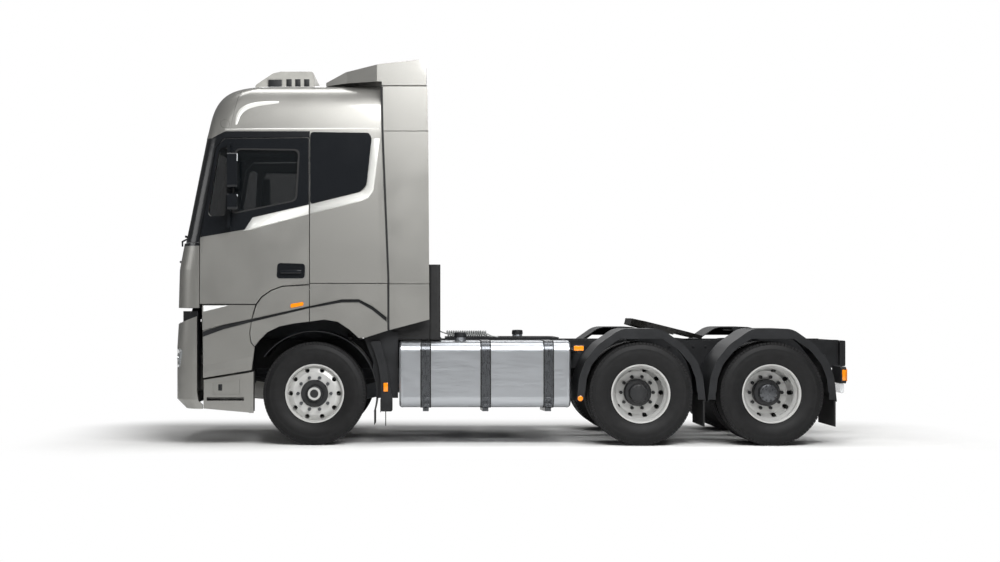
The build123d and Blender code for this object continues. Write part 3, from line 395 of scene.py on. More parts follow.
# %% Tyres with grooves and shoulder bars
twin_gap = 0.172                # from a twin's middle to each of its two tyres
wheel_bodies = []
for side_name, side in sides:
    for axle, wheel, tyre, rows in (("front", "wheel", "tyre", (0.0,)),
                                    ("drive_1", "wheels", "tyres", (-twin_gap, twin_gap)),
                                    ("drive_2", "wheels", "tyres", (-twin_gap, twin_gap))):
        spot = f"{axle}_{side_name}"
        wheel_bodies.append((f"{wheel}_{spot}", f"{tyre}_{spot}", joint_at[f"spin_{spot}"], side, rows))
faces = 0
for body, node, centre, side, rows in wheel_bodies:
    form = bmesh.new()
    for y in rows:
        middle = centre + Vector((0, y, 0))
        add_turned(form, tyre_profile, middle, side, 96)
        for bars_at in (-bar_y, bar_y):
            add_ring(form, shoulder_bars, middle, side, bars_at)
    tyre = make_piece(f"{node}_treaded", form, tyre_rubber, body, 40)
    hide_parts(node)
    faces += len(tyre.data.polygons)
print("tyres:", len(wheel_bodies), "bodies,", faces, "faces")

# %% [markdown]
# ## Wheel nuts and hubs
# Ten nuts on a 335 mm circle hold each wheel. The steered hubs end in a domed cap over a dark ring, the driven hubs in
# a flange with its own ring of small bolts. Zinc plate is a dull silver; hub enamel is a satin black.

# %% Wheel nuts, studs and hub caps
stud_circle = 0.1675
wheel_nuts = tree_mesh(nut_ring, bright_metal, count=10, radius=stud_circle, width=0.0185, height=0.034)
wheel_studs = tree_mesh(nut_ring, bright_metal, count=10, radius=stud_circle, width=0.0105, height=0.05)
flange_bolts = tree_mesh(nut_ring, bright_metal, count=10, radius=0.078, width=0.009, height=0.014)
nut_steel, *_ = finish("zinc_plated_nut_steel", "#5E6063", 0.32, 0.9, gloss=(20, 0.26, 0.42))
dark_hub, *_ = finish("black_hub_enamel", "#17181A", 0.42, gloss=(30, 0.38, 0.55))
for body, node, centre, side, rows in wheel_bodies:
    steered = len(rows) == 1
    form = bmesh.new()
    add_ring(form, wheel_nuts, centre, side, 138 if steered else 31)
    add_ring(form, wheel_studs, centre, side, 146 if steered else 39)
    if not steered:
        add_ring(form, flange_bolts, centre, side, 174)
    make_piece(f"{body}_nuts", form, nut_steel if steered else dark_hub, body)
    if steered:
        ring = [(139.6, 100), (139.6, 131), (134, 137), (100, 137), (92, 134), (83, 134)]
        cap = [(82.6, 130), (82.6, 158), (76, 170), (60, 177), (0, 178)]
    else:
        ring = [(139.6, -10), (139.6, 88), (130, 98), (97, 104)]
        cap = [(96.6, 98), (96.6, 150), (88, 166), (70, 172), (0, 173)]
    form = bmesh.new()
    add_turned(form, ring, centre, side, 64)
    make_piece(f"{body}_hub_ring", form, dark_hub, body)
    form = bmesh.new()
    add_turned(form, cap, centre, side, 64)
    make_piece(f"{body}_hub_cap", form, nut_steel if "drive_2" in body else dark_hub, body)
    if steered:
        form = bmesh.new()
        add_turned(form, [(66, 174), (64, 182), (44, 182), (42, 176)], centre, side, 48)
        make_piece(f"{body}_cap_ring", form, wheel_paint, body)
print("hubs on", len(wheel_bodies), "bodies, with nuts on a", 2000 * stud_circle, "mm circle")

# %% [markdown]
# ## Window band
# On the real cab, one gloss black band runs from the windscreen pillar over the door glass to the bunk window. It is a
# thin moulding laid on the painted side, so it is a plate with holes where the glass is, split at the door gap. The
# plate is drawn flat in x and z, and each point is set out to where the side is at its height.

# %% Plates on the cab's side
side_mm, belt_mm = round(half_width * 1000), 2068
lean_in = 13 / 1059


def flat_y(z_mm):
    """The upright part of the cab's side."""
    return side_mm


def side_y(z_mm):
    """How far the cab's side stands out at a height: upright below the windows, leaning in above."""
    return side_mm if z_mm < belt_mm else side_mm - (z_mm - belt_mm) * lean_in


def rounded(outline, radius, steps=5):
    """Outline with its corners turned into short arcs."""
    smooth = []
    for i, corner in enumerate(outline):
        here = Vector(corner)
        before, after = Vector(outline[i - 1]) - here, Vector(outline[(i + 1) % len(outline)]) - here
        reach = min(radius, before.length / 2.2, after.length / 2.2)
        start, end = here + before.normalized() * reach, here + after.normalized() * reach
        smooth += [tuple((1 - t) ** 2 * start + 2 * t * (1 - t) * here + t * t * end)
                   for t in (k / steps for k in range(steps + 1))]
    return smooth


def add_side_plate(form, outline, side, proud, depth, holes=(), lean=side_y):
    """A plate on the cab's side: outline and holes in (x, z), its face proud of the side, its edge depth deep."""
    loops = [list(outline), *[list(hole) for hole in holes]]

    def ring_at(offset):
        return [[form.verts.new(point(x, side * (lean(z) + offset), z)) for x, z in loop] for loop in loops]

    face, back = ring_at(proud), ring_at(proud - depth)
    flat_face = [vert for loop in face for vert in loop]
    flat_back = [vert for loop in back for vert in loop]
    for tri in tessellate_polygon([[Vector((x, z, 0)) for x, z in loop] for loop in loops]):
        form.faces.new([flat_face[i] for i in tri])
        form.faces.new([flat_back[i] for i in reversed(tri)])
    for outer, inner in zip(face, back):
        for i in range(len(outer)):
            j = (i + 1) % len(outer)
            form.faces.new((outer[i], outer[j], inner[j], inner[i]))


print("the side stands", side_mm, "mm out at the belt and", round(side_y(3127), 1), "mm at the top of the glass")

# %% Black window band
door_pane = rounded([(-840, 2347), (-170, 2484), (-140, 3012), (-799, 3022)], 60)
seal_inside = rounded([(-822, 2368), (-188, 2497), (-160, 2995), (-784, 3004)], 55)
quarter_pane = rounded([(-1075, 2330), (-900, 2330), (-862, 3026), (-962, 3026)], 45)
band_door = [(-1149, 2118), (-1139, 2192), (-992, 3020), (-908, 3118), (-66, 3127), (-50, 3112), (-50, 2449),
             (-622, 2318), (-700, 2196)]
band_bunk = rounded([(-38, 2452), (470, 2577), (534, 2640), (586, 3125), (560, 3178), (-38, 3186)], 40)
for side_name, side in sides:
    form = bmesh.new()
    add_side_plate(form, band_door, side, 2.5, 3.0, holes=[door_pane, quarter_pane])
    make_piece(f"window_band_door_{side_name}", form, band_gloss, f"door_{side_name}", 20)
    form = bmesh.new()
    add_side_plate(form, band_bunk, side, 2.5, 3.0)
    make_piece(f"window_band_bunk_{side_name}", form, band_gloss, "cab", 20)
    form = bmesh.new()
    add_side_plate(form, door_pane, side, 3.5, 8.0, holes=[seal_inside])
    make_piece(f"drop_glass_seal_{side_name}", form, flap_rubber, f"door_{side_name}", 20)
print("window bands and glass seals on both sides")

# %% [markdown]
# The pillar ahead of the door and the cap under the windscreen are masked off and sprayed gloss black, so one panel
# carries two paints. The material switches from one to the other at a plane, as at the edge of masking tape.

# %% Panels in two paints
def two_paints(name, axis, test, split):
    """Coach paint where the test of a coordinate against split holds, and gloss black elsewhere."""
    material, tree, shader = finish(name, paint_grey, 0.36, 0.62, Coat_Weight=0.15, Coat_Roughness=0.06)
    place = add(tree, "ShaderNodeTexCoord").outputs["Object"]
    along = add(tree, "ShaderNodeSeparateXYZ", inputs={"Vector": place}).outputs[axis]
    grey = add(tree, "ShaderNodeMath", {"operation": test}, {0: along, 1: split}).outputs["Value"]
    colour = add(tree, "ShaderNodeMix", {"data_type": "RGBA"}, {0: grey, 6: linear("#131518"), 7: linear(paint_grey)})
    tree.links.new(colour.outputs[2], shader.inputs["Base Color"])
    for socket, of_black, of_grey in (("Roughness", 0.2, 0.37), ("Metallic", 0.0, 0.62)):
        level = add(tree, "ShaderNodeMapRange", inputs={"Value": grey, "To Min": of_black, "To Max": of_grey})
        tree.links.new(level.outputs["Result"], shader.inputs[socket])
    return material


door_gap_x, cap_foot_z = point(-42, 0, 0).x, 2.032
nodes["cab_sides"].data.materials[0] = two_paints("gloss_black_pillar_and_side_paint", "X", "GREATER_THAN", door_gap_x)
nodes["front_panel"].data.materials[0] = two_paints("coach_paint_with_black_cap", "Z", "LESS_THAN", cap_foot_z)
print("black ahead of x", round(door_gap_x, 3), "on the side and above z", cap_foot_z, "on the front")

# %% [markdown]
# Under the band the side is folded: a ledge faces the sky and catches the light, and its paint is the pale lit copy
# of the coach paint, a painted highlight. It is a long wedge, proud at its lower edge, that follows the band and
# turns up behind the bunk window.

# %% Bright ledge under the windows
ledge_proud, under_edge = 7.0, 0.12


def add_ledge(form, side, upper, lower):
    """A sloped strip between two lines of (x, z) points: flush above, proud below, with an under edge."""
    rows = []
    for (x1, z1), (x2, z2) in zip(upper, lower):
        tucked = (x2 + (x2 - x1) * under_edge, z2 + (z2 - z1) * under_edge, -1.0)
        rows.append([form.verts.new(point(x, side * (side_y(z) + out), z))
                     for x, z, out in ((x1, z1, 0.4), (x2, z2, ledge_proud), tucked)])
    for here, there in zip(rows, rows[1:]):
        for k in range(2):
            form.faces.new((here[k], here[k + 1], there[k + 1], there[k]))


ledge_door = ([(-700, 2194), (-622, 2316), (-52, 2447)], [(-716, 2182), (-600, 2212), (-52, 2358)])
ledge_bunk = ([(-36, 2450), (470, 2574), (512, 2598), (538, 2640), (562, 2880), (588, 3122)],
              [(-36, 2362), (480, 2489), (552, 2522), (600, 2592), (634, 2870), (664, 3122)])
for side_name, side in sides:
    for body, (upper, lower) in ((f"door_{side_name}", ledge_door), ("cab", ledge_bunk)):
        form = bmesh.new()
        add_ledge(form, side, upper, lower)
        ledge = make_piece(f"belt_ledge_{body}_{side_name}", form, highlight_paint, body, 25)
        ledge.modifiers.new("thickness", "SOLIDIFY").thickness = 0.0015
print("ledges stand", ledge_proud, "mm proud")

# %% [markdown]
# ## Door handle, mirrors and wipers
# The handle is a black moulded grip in a shallow dish. Each mirror housing holds silvered glass that faces back along
# the truck. Two wipers park along the foot of the windscreen. Most of this is soft-edged blocks and bent bars.

# %% Blocks and bars
def add_block(form, low_mm, high_mm, soften_mm=4.0, segments=2):
    """A soft-edged box between two corners."""
    low, high = point(*low_mm), point(*high_mm)
    made = bmesh.ops.create_cube(form, size=1.0)["verts"]
    for vert in made:
        vert.co = Vector([lo if c < 0 else hi for c, lo, hi in zip(vert.co, low, high)])
    edges = {edge for vert in made for edge in vert.link_edges}
    bmesh.ops.bevel(form, geom=list(edges), offset=soften_mm / 1000, segments=segments, affect="EDGES", profile=0.5)


def add_side_block(form, side, low_mm, high_mm, soften_mm=4.0, segments=2):
    """The same on one side of the truck, with y given as the distance from its middle."""
    (x_low, near, z_low), (x_high, far, z_high) = low_mm, high_mm
    y_low, y_high = sorted((side * near, side * far))
    add_block(form, (x_low, y_low, z_low), (x_high, y_high, z_high), soften_mm, segments)


def add_tube(form, path_mm, radius_mm, steps=10):
    """A round bar bent along a few points."""
    spots = [point(*p) for p in path_mm]
    rings = []
    for i, spot in enumerate(spots):
        run = (spots[min(i + 1, len(spots) - 1)] - spots[max(i - 1, 0)]).normalized()
        turn = run.to_track_quat("Z", "Y")
        rings.append([form.verts.new(spot + turn @ Vector((math.cos(a), math.sin(a), 0)) * radius_mm / 1000)
                      for a in (math.tau * k / steps for k in range(steps))])
    for here, there in zip(rings, rings[1:]):
        for k in range(steps):
            form.faces.new((here[k], here[(k + 1) % steps], there[(k + 1) % steps], there[k]))
    form.faces.new(list(reversed(rings[0])))
    form.faces.new(rings[-1])


print("block and bar helpers ready")

# %% Door handles and mirror glass
dish = rounded([(-378, 1700), (-92, 1700), (-88, 1848), (-368, 1856)], 36)
hollow = rounded([(-360, 1716), (-106, 1716), (-104, 1832), (-352, 1840)], 28)
mirror_rim = 12
for side_name, side in sides:
    form = bmesh.new()
    add_side_plate(form, dish, side, 5.0, 6.0, holes=[hollow])
    add_side_plate(form, hollow, side, 1.0, 2.0)
    add_side_block(form, side, (-340, 1252, 1748), (-120, 1276, 1786), 9, 3)
    for x in (-330, -150):
        add_side_block(form, side, (x, 1244, 1752), (x + 22, 1262, 1782), 5)
    make_piece(f"door_handle_{side_name}", form, band_gloss, f"door_{side_name}")
    form = bmesh.new()
    for z_low, z_high, out in ((2600, 2950, 1500), (2380, 2545, 1490)):
        add_side_block(form, side, (-750, 1322, z_low + mirror_rim), (-744, out - mirror_rim, z_high - mirror_rim), 2)
    make_piece(f"mirror_glass_{side_name}", form, mirror_glass, f"door_{side_name}")
print("handles and mirror glass on both doors")

# %% Wipers
form = bmesh.new()
for start, end in ((-700, 60), (180, 940)):
    add_tube(form, [(-1425, start, 2050), (-1432, start + 30, 2100), (-1420, end - 120, 2190), (-1414, end, 2212)], 9)
    add_block(form, (-1428, start + 160, 2150), (-1412, end + 80, 2172), 4)
wipers = make_piece("windscreen_wipers", form, guard_plastic, "cab")
print("wipers:", len(wipers.data.polygons), "faces")

# %% [markdown]
# ## Tank trim
# The tank hangs in straps: a stainless band on a wider rubber one, drawn up by a threaded buckle at the front, low
# down. A screw cap closes the filler, and a shallow bead runs round each end where the dished head is welded in.
# Bands and beads follow the tank's own cross-section, grown by a few millimetres.

# %% Hoops round the tank
tank_out, tank_depth, tank_top, tank_foot, tank_round = 1215.0, 660.0, 1062.0, 385.0, 110.0


def tank_loop(grow, side, steps=6):
    """Cross-section of the tank, grown by a few millimetres, as (y, z) points."""
    r = tank_round + grow
    y_out, y_in = tank_out + grow - r, tank_out - tank_depth - grow + r
    top, foot = tank_top + grow - r, tank_foot - grow + r
    loop = []
    for cy, cz, start in ((y_out, foot, -90), (y_out, top, 0), (y_in, top, 90), (y_in, foot, 180)):
        for k in range(steps + 1):
            a = math.radians(start + 90 * k / steps)
            loop.append((side * (cy + r * math.cos(a)), cz + r * math.sin(a)))
    return loop


def add_hoop(form, side, x_low, x_high, inner, outer):
    """A band round the tank between two x positions."""
    rings = [[form.verts.new(point(x, y, z)) for y, z in tank_loop(grow, side)]
             for x, grow in ((x_low, inner), (x_low, outer), (x_high, outer), (x_high, inner))]
    for a, b in zip(rings, rings[1:] + rings[:1]):
        for k in range(len(a)):
            form.faces.new((a[k], a[(k + 1) % len(a)], b[(k + 1) % len(a)], b[k]))


print("a hoop has", len(tank_loop(0, 1)), "points round the tank")

# %% Strap rubbers, buckles and end beads
straps = [(-1, x) for x in (1135, 1745, 2385)] + [(1, x) for x in (1960, 2440)]
rubbers, buckles, beads = bmesh.new(), bmesh.new(), bmesh.new()
for side, x in straps:
    for x_low, x_high in ((x - 54, x - 42.2), (x + 42.2, x + 54)):
        add_hoop(rubbers, side, x_low, x_high, 0.5, 5.0)
    for z in (470, 398):
        add_side_block(buckles, side, (x - 34, 1222, z), (x + 34, 1240, z + 22), 4)
    for dx in (-20, 20):
        add_tube(buckles, [(x + dx, side * 1231, 385), (x + dx, side * 1231, 515)], 7)
make_piece("strap_rubbers", rubbers, flap_rubber, "chassis")
make_piece("strap_buckles", buckles, strap_metal, "chassis")
for side, x_low, x_high in ((-1, 866, 2610), (1, 1790, 2610)):
    for x in (x_low + 22, x_high - 40):
        add_hoop(beads, side, x, x + 18, -2.0, 3.0)
make_piece("tank_end_beads", beads, tank_metal, "chassis")
print("straps:", len(straps))

# %% Filler caps
cap_profile = [(0, 1152), (52, 1150), (62, 1142), (64, 1118), (64, 1100), (58, 1098)]
stand_up = Matrix.Rotation(math.radians(90), 4, "X")
caps = bmesh.new()
for x, y in ((1490, -1000), (2200, 1000)):
    add_turned_at(caps, cap_profile, Matrix.Translation(point(x, y, 0)) @ stand_up)
make_piece("filler_caps", caps, guard_plastic, "chassis")
print("filler caps:", 2 * max(r for r, _ in cap_profile), "mm across")

# %% [markdown]
# ## Bolts along the frame
# Cross-members, brackets and tank feet are bolted through the rail's web. Each head is a six-sided turned shape, and
# the heads stand in two lines, so plain loops place them.

# %% Frame bolts
bolt_head = [(14, 0), (14, 10), (12, 12), (0, 12)]
bolt_start, bolt_pitch, bolt_count = 2700, 130, 21
bolts = bmesh.new()
for _, side in sides:
    for k in range(bolt_count):
        for z in (830, 990):
            add_turned(bolts, bolt_head, point(bolt_start + bolt_pitch * k, side * 430, z), side, 6)
make_piece("frame_bolts", bolts, chassis_paint, "chassis")
print("frame bolts:", 4 * bolt_count)

# %% [markdown]
# ## Lamps and markers
# Side markers are amber, and the tail lamps carry red, amber and clear windows. Each small lamp is a lens on a dark
# base, standing on what carries it, so both are soft-edged blocks, one a little proud of the other.

# %% Side markers
ambers, bases = bmesh.new(), bmesh.new()
base_rim = 8
for _, side in sides:
    for x, z, wide, tall, out in ((727, 593, 46, 90, 1180), (2690, 990, 100, 50, 1200)):
        w, h = wide / 2, tall / 2
        add_side_block(bases, side, (x - w - base_rim, out - 4, z - h - base_rim),
                       (x + w + base_rim, out + 6, z + h + base_rim), 5)
        add_side_block(ambers, side, (x - w, out + 4, z - h), (x + w, out + 18, z + h), 6)
    add_side_block(bases, side, (2670, 560, 940), (2710, 1206, 964), 4)
    add_side_block(bases, side, (2660, 430, 900), (2720, 570, 980), 4)
make_piece("side_marker_lenses", ambers, amber_lens, "chassis")
make_piece("side_marker_bases", bases, guard_plastic, "chassis")
print("side markers: 2 on each side")

# %% Tail lamps and reflectors
reds, clears, rear_ambers, reversing, reflectors = (bmesh.new() for _ in range(5))
for _, side in sides:
    for form, near, far in ((reds, 872, 990), (clears, 996, 1060), (rear_ambers, 1066, 1168)):
        add_side_block(form, side, (5416, near, 650), (5434, far, 780), 8)
    add_side_block(rear_ambers, side, (5376, 1176, 660), (5412, 1190, 770), 5)
    add_side_block(reversing, side, (5368, 930, 528), (5412, 1140, 632), 18, 3)
    add_turned(reflectors, [(27, -1), (27, 5), (21, 8), (0, 9)], point(2702, side * side_mm, 482), side, 24)
for name, form, material in (("reversing_lamps", reversing, clear_lens), ("round_reflectors", reflectors, amber_lens),
                             ("tail_lamp_red", reds, red_lens), ("tail_lamp_clear", clears, clear_lens),
                             ("tail_lamp_amber", rear_ambers, amber_lens)):
    make_piece(name, form, material, "chassis")
print("tail lamps with three windows each")

# %% [markdown]
# ## Arch marker, headlamp bowls and cooler vents
# The orange marker sits on the arch panel and tilts with the cab. Behind each headlamp lens stand bright bowls on a
# dark plate. The roof cooler has a scoop at the front and square vents along each side.

# %% Arch markers
arch_marker = rounded([(-236, 1400), (-104, 1424), (-104, 1462), (-236, 1440)], 14)
form = bmesh.new()
for _, side in sides:
    add_side_plate(form, arch_marker, side, 9.0, 24.0)
make_piece("arch_markers", form, amber_lens, "cab", 25)
print("arch markers: one on each side")

# %% Headlamp bowls
bowl_profile = [(62, 0), (59.52, -22), (43.4, -44), (18.6, -54), (0, -56)]
face_front = Matrix.Rotation(math.radians(90), 4, "Z")
bowls, plates = bmesh.new(), bmesh.new()
for _, side in sides:
    add_side_block(plates, side, (-1372, 770, 800), (-1360, 1120, 950), 6)
    for y in (850, 1000):
        add_turned_at(bowls, bowl_profile, Matrix.Translation(point(-1418, side * y, 875)) @ face_front)
make_piece("headlamp_bowls", bowls, bright_metal, "chassis")
make_piece("headlamp_plates", plates, guard_plastic, "chassis")
print("headlamps: two bowls each")

# %% Roof cooler vents and scoop
vents = bmesh.new()
for _, side in sides:
    for x in (-330, -235, -140):
        add_side_block(vents, side, (x - 30, 444, 3770), (x + 30, 453, 3850), 5)
    add_side_block(vents, side, (-560, 440, 3720), (-400, 452, 3850), 14, 3)
make_piece("roof_cooler_vents", vents, guard_plastic, "cab")
print("roof cooler: three vents and a scoop on each side")

# %% [markdown]
# ## Grille and front trim
# The photograph shows only the truck's side, so its front is a plain one of this class: a grille of slats in the
# lid, a lower intake in the bumper and a blank plate. The slats repeat and follow the bowed front, so Geometry Nodes
# sweep one slat along an arc and stack copies of it.

# %% Geometry Nodes: bowed slats
def slat_tree():
    tree, given = start_tree("bowed_slats", ("Count", "Pitch", "Bow", "Sweep", "Depth", "Height", "Lean"))
    half = add(tree, "ShaderNodeMath", {"operation": "MULTIPLY"}, {0: given["Sweep"], 1: -0.5})
    start = add(tree, "ShaderNodeMath", {"operation": "ADD"}, {0: half.outputs["Value"], 1: math.pi})
    arc = add(tree, "GeometryNodeCurveArc",
              inputs={"Resolution": 25, "Radius": given["Bow"], "Start Angle": start.outputs["Value"],
                      "Sweep Angle": given["Sweep"]})
    section = add(tree, "GeometryNodeCurvePrimitiveQuadrilateral",
                  inputs={"Width": given["Depth"], "Height": given["Height"]})
    slat = add(tree, "GeometryNodeCurveToMesh",
               inputs={"Curve": arc.outputs["Curve"], "Profile Curve": section.outputs["Curve"], "Fill Caps": True})
    step = add(tree, "ShaderNodeCombineXYZ", inputs={"X": given["Lean"], "Z": given["Pitch"]})
    line = add(tree, "GeometryNodeMeshLine", inputs={"Count": given["Count"], "Offset": step.outputs["Vector"]})
    spread = add(tree, "GeometryNodeInstanceOnPoints",
                 inputs={"Points": line.outputs["Mesh"], "Instance": slat.outputs["Mesh"]})
    end_tree(tree, given, spread)
    return tree


bowed_slats = slat_tree()
front_bow = 9.0
for name, body, material, front_mm, low_mm, count, pitch, half_w, deep, tall, lean in (
        ("grille_slats", "cab", guard_plastic, -1462, 1500, 6, 0.062, 0.86, 0.016, 0.034, 0.0015),
        ("grille_bright_bar", "cab", bright_metal, -1458, 1880, 1, 0.05, 0.90, 0.014, 0.020, 0.0),
        ("intake_slats", "chassis", guard_plastic, -1482, 520, 4, 0.060, 0.62, 0.016, 0.030, 0.0)):
    mesh = tree_mesh(bowed_slats, material, count=count, pitch=pitch, bow=front_bow, sweep=2 * half_w / front_bow,
                     depth=deep, height=tall, lean=lean)
    mesh.transform(Matrix.Translation(point(front_mm, 0, low_mm) + Vector((front_bow, 0, 0))))
    make_piece(name, mesh, material, body)
    print(name, "has", count, "of", round(2 * half_w, 2), "m")

# %% Blank plate and radiator
for name, low, high, soften_mm, material in (
        ("blank_plate", (-1490, -265, 760), (-1476, 265, 880), 5, cooler_plastic),
        ("radiator_core", (-1176, -640, 1075), (-1150, 640, 1385), 4, flap_rubber)):
    form = bmesh.new()
    add_block(form, low, high, soften_mm)
    make_piece(name, form, material, "chassis")
print("blank plate and radiator in place")

# %% [markdown]
# ## Coupling plate
# The plate's top carries shallow grease channels and a release handle reaches out of its left side. At rest the
# plate hangs tail down, so the channels are drawn flat about its pivot and then tilted with it.

# %% Coupling plate handle and channels
rest_tilt_deg, plate_top, channel_half = 14, 0.0845, 0.008
tilt = Matrix.Translation(joint_at["fifth_wheel_tilt"]) @ Matrix.Rotation(math.radians(rest_tilt_deg), 4, "Y")
form = bmesh.new()
for angle in (-60, -25, 25, 60, 120, 240):
    a = math.radians(angle + 180)
    across = Vector((-math.sin(a), math.cos(a), 0)) * channel_half
    path = [Vector((r * math.cos(a), r * math.sin(a), plate_top)) for r in (0.12, 0.20, 0.28, 0.36)]
    for here, there in zip(path, path[1:]):
        corners = (here - across, there - across, there + across, here + across)
        form.faces.new([form.verts.new(tilt @ c) for c in corners])
channels = make_piece("grease_channels", form, flap_rubber, "fifth_wheel")
channels.modifiers.new("thickness", "SOLIDIFY").thickness = 0.001
form = bmesh.new()
add_block(form, (3510, -560, 1166), (3530, -440, 1178), 4)
make_piece("release_handle", form, strap_metal, "fifth_wheel")
print("coupling plate rests", rest_tilt_deg, "degrees tail down")

# %% [markdown]
# ## Folds and joints in the painted panels
# The cab's panels carry folds that read as thin bright or dark lines. The arch groove lies in shade, and a black
# strip laid deep in it is that shade painted. The boomerang fold in the roof's flank and a thin ridge along the
# roof's lower edge wear the pale lit copy of the coach paint, as painted highlights. The joint of the roof's front cap
# is a dark line. A small frosted lamp fills the front corner of the arch panel; its acrylic scatters light, so it
# reads as an even white.

# %% Painted shade in the arch grooves, and corner lamps
# A black strip sunk 20 mm deep in the arch groove: painted shade for the shadow under the groove's upper lip.
shade_strip = [(-1126, 1160), (-1126, 1108), (-918, 1184), (-636, 1258), (-49, 1399), (283, 1457), (456, 1457),
         (590, 1381), (736, 1263), (736, 1306), (594, 1416), (458, 1486), (283, 1486), (-49, 1416),
         (-636, 1286), (-918, 1229)]
corner_lamp = rounded([(-1120, 1424), (-866, 1424), (-1120, 1362)], 8)
lens_white, *_ = finish("frosted_white_lamp_acrylic", "#E6E7E6", 0.22, gloss=(25, 0.18, 0.28), IOR=1.49)
for side_name, side in sides:
    form = bmesh.new()
    add_side_plate(form, shade_strip, side, -20.0, 6.5, lean=flat_y)
    make_piece(f"arch_groove_shade_{side_name}", form, guard_plastic, "cab", 20)
    form = bmesh.new()
    add_side_plate(form, corner_lamp, side, 2.0, 4.0, lean=flat_y)
    make_piece(f"corner_lamp_lens_{side_name}", form, lens_white, "cab", 20)
print("shade_strips and corner lamps on both sides")

# %% [markdown]
# The roof is doubly curved, so each of its lines is drawn flat in x and z, dropped on to the real surface with a
# ray, and laid there as a thin ridge that tapers to its ends.

# %% Ridges on a curved surface
roof_mesh = nodes["cab_roof"].data
roof_rays = BVHTree.FromPolygons([v.co for v in roof_mesh.vertices], [p.vertices for p in roof_mesh.polygons])
sunk_mm, end_taper = -1.5, 0.06


def on_roof(x_mm, z_mm, side, proud_mm):
    """Point on the roof's flank seen straight from the side, lifted along the surface normal."""
    start = point(x_mm, side * 3000, z_mm)
    spot, normal, *_ = roof_rays.ray_cast(start, Vector((0, -side, 0)))
    return spot + normal * proud_mm / 1000


def along_path(path, steps):
    """Evenly spread points on a smooth line through the given (x, z) points."""
    smooth = []
    for i in range(len(path) - 1):
        p0, p1, p2, p3 = (Vector(path[min(max(i + k, 0), len(path) - 1)]) for k in (-1, 0, 1, 2))
        for t in (k / steps for k in range(steps)):
            smooth.append(0.5 * (2 * p1 + (p2 - p0) * t + (2 * p0 - 5 * p1 + 4 * p2 - p3) * t * t
                                 + (3 * p1 - p0 - 3 * p2 + p3) * t ** 3))
    return smooth + [Vector(path[-1])]


def add_ridge(form, path, side, half_mm, crest_mm, steps=8):
    """A ridge along a line on the roof: both edges sunk a little, the middle raised, tapering to its ends."""
    line = along_path(path, steps)
    rows = []
    for i, here in enumerate(line):
        run = (line[min(i + 1, len(line) - 1)] - line[max(i - 1, 0)]).normalized()
        sideways = Vector((-run.y, run.x))
        share = math.sin(math.pi * (end_taper + (1 - 2 * end_taper) * i / (len(line) - 1))) ** 0.5
        rows.append([form.verts.new(on_roof(*(here + sideways * k * half_mm * share), side, lift))
                     for k, lift in ((-1, sunk_mm), (0, crest_mm * share), (1, sunk_mm))])
    for here, there in zip(rows, rows[1:]):
        for k in range(2):
            form.faces.new((here[k], here[k + 1], there[k + 1], there[k]))


print("roof flank at the fold: y", round(on_roof(-560, 3478, 1, 0).y, 3))

# %% Lines laid on the roof
fold = [(-792, 3262), (-760, 3372), (-690, 3440), (-560, 3478), (-360, 3496)]
# A thin ridge along the roof's lower edge, in the pale paint: a painted highlight.
roof_edge_highlight = [(-900, 3214), (-500, 3218), (0, 3220), (400, 3222), (660, 3222)]
cap_joint = [(-846, 3206), (-826, 3330), (-800, 3450), (-772, 3560), (-745, 3630)]
marker_ring = [(-900, 3318), (-946, 3300), (-938, 3240), (-868, 3232), (-862, 3290), (-900, 3318)]
for side_name, side in sides:
    ridge, joints = bmesh.new(), bmesh.new()
    add_ridge(ridge, fold, side, 30.0, 9.0)
    add_ridge(ridge, roof_edge_highlight, side, 9.0, 4.0)
    add_ridge(joints, cap_joint, side, 3.0, 1.2)
    add_ridge(joints, marker_ring, side, 2.5, 1.2)
    # The fold and the hem ridges wear the pale lit copy of the coach paint: painted highlights.
    make_piece(f"roof_fold_highlight_{side_name}", ridge, highlight_paint, "cab", 20)
    make_piece(f"roof_joints_{side_name}", joints, flap_rubber, "cab", 20)
print("roof lines: four on each side")

# %% [markdown]
# The joint between the cab and the side fairings is closed by a black rubber strip. It shows as one dark line, so a
# narrow plate on the flat side is enough.

# %% Fairing strip
strip = [(745, 1180), (745, 1700), (686, 3194), (677, 3640), (699, 3640), (708, 3194), (767, 1700), (767, 1180)]
for side_name, side in sides:
    form = bmesh.new()
    add_side_plate(form, strip, side, 1.0, 14.0, lean=flat_y)
    make_piece(f"fairing_strip_{side_name}", form, flap_rubber, "cab", 20)
print("fairing strips of", strip[3][1] - strip[0][1], "mm")

# %% [markdown]
# ## Steps and air lines
# The step box has a lid with a pull, and ribbed treads in its slot. A plain shield closes the slot between each end
# of the bumper and the cab. All are moulded in the same black plastic and made of soft-edged blocks.

# %% Bumper shields, step pulls and treads
shields, pulls, treads = bmesh.new(), bmesh.new(), bmesh.new()
rib_count, rib_pitch = 12, 31
for _, side in sides:
    add_side_block(shields, side, (-1204, 840, 1284), (-1186, 1185, 1372), 3)
    add_side_block(pulls, side, (-972, 1219, 560), (-932, 1225, 626), 5)
    add_side_block(pulls, side, (-968, 1224, 600), (-936, 1232, 614), 3)
    for k in range(rib_count):
        add_side_block(treads, side, (-1078 + rib_pitch * k, 1090, 457), (-1062 + rib_pitch * k, 1214, 464), 2)
for name, form in (("bumper_end_shields", shields), ("step_lid_pulls", pulls), ("step_treads", treads)):
    make_piece(name, form, guard_plastic, "chassis")
print("step treads:", rib_count, "ribs on each side")

# %% [markdown]
# Behind the cab, coiled air lines wait for a trailer. Each coil is a helix worked out by its turns, lying on the
# walkway, with one end led to the filter box. The nylon is a satin grey, a little uneven in tone.

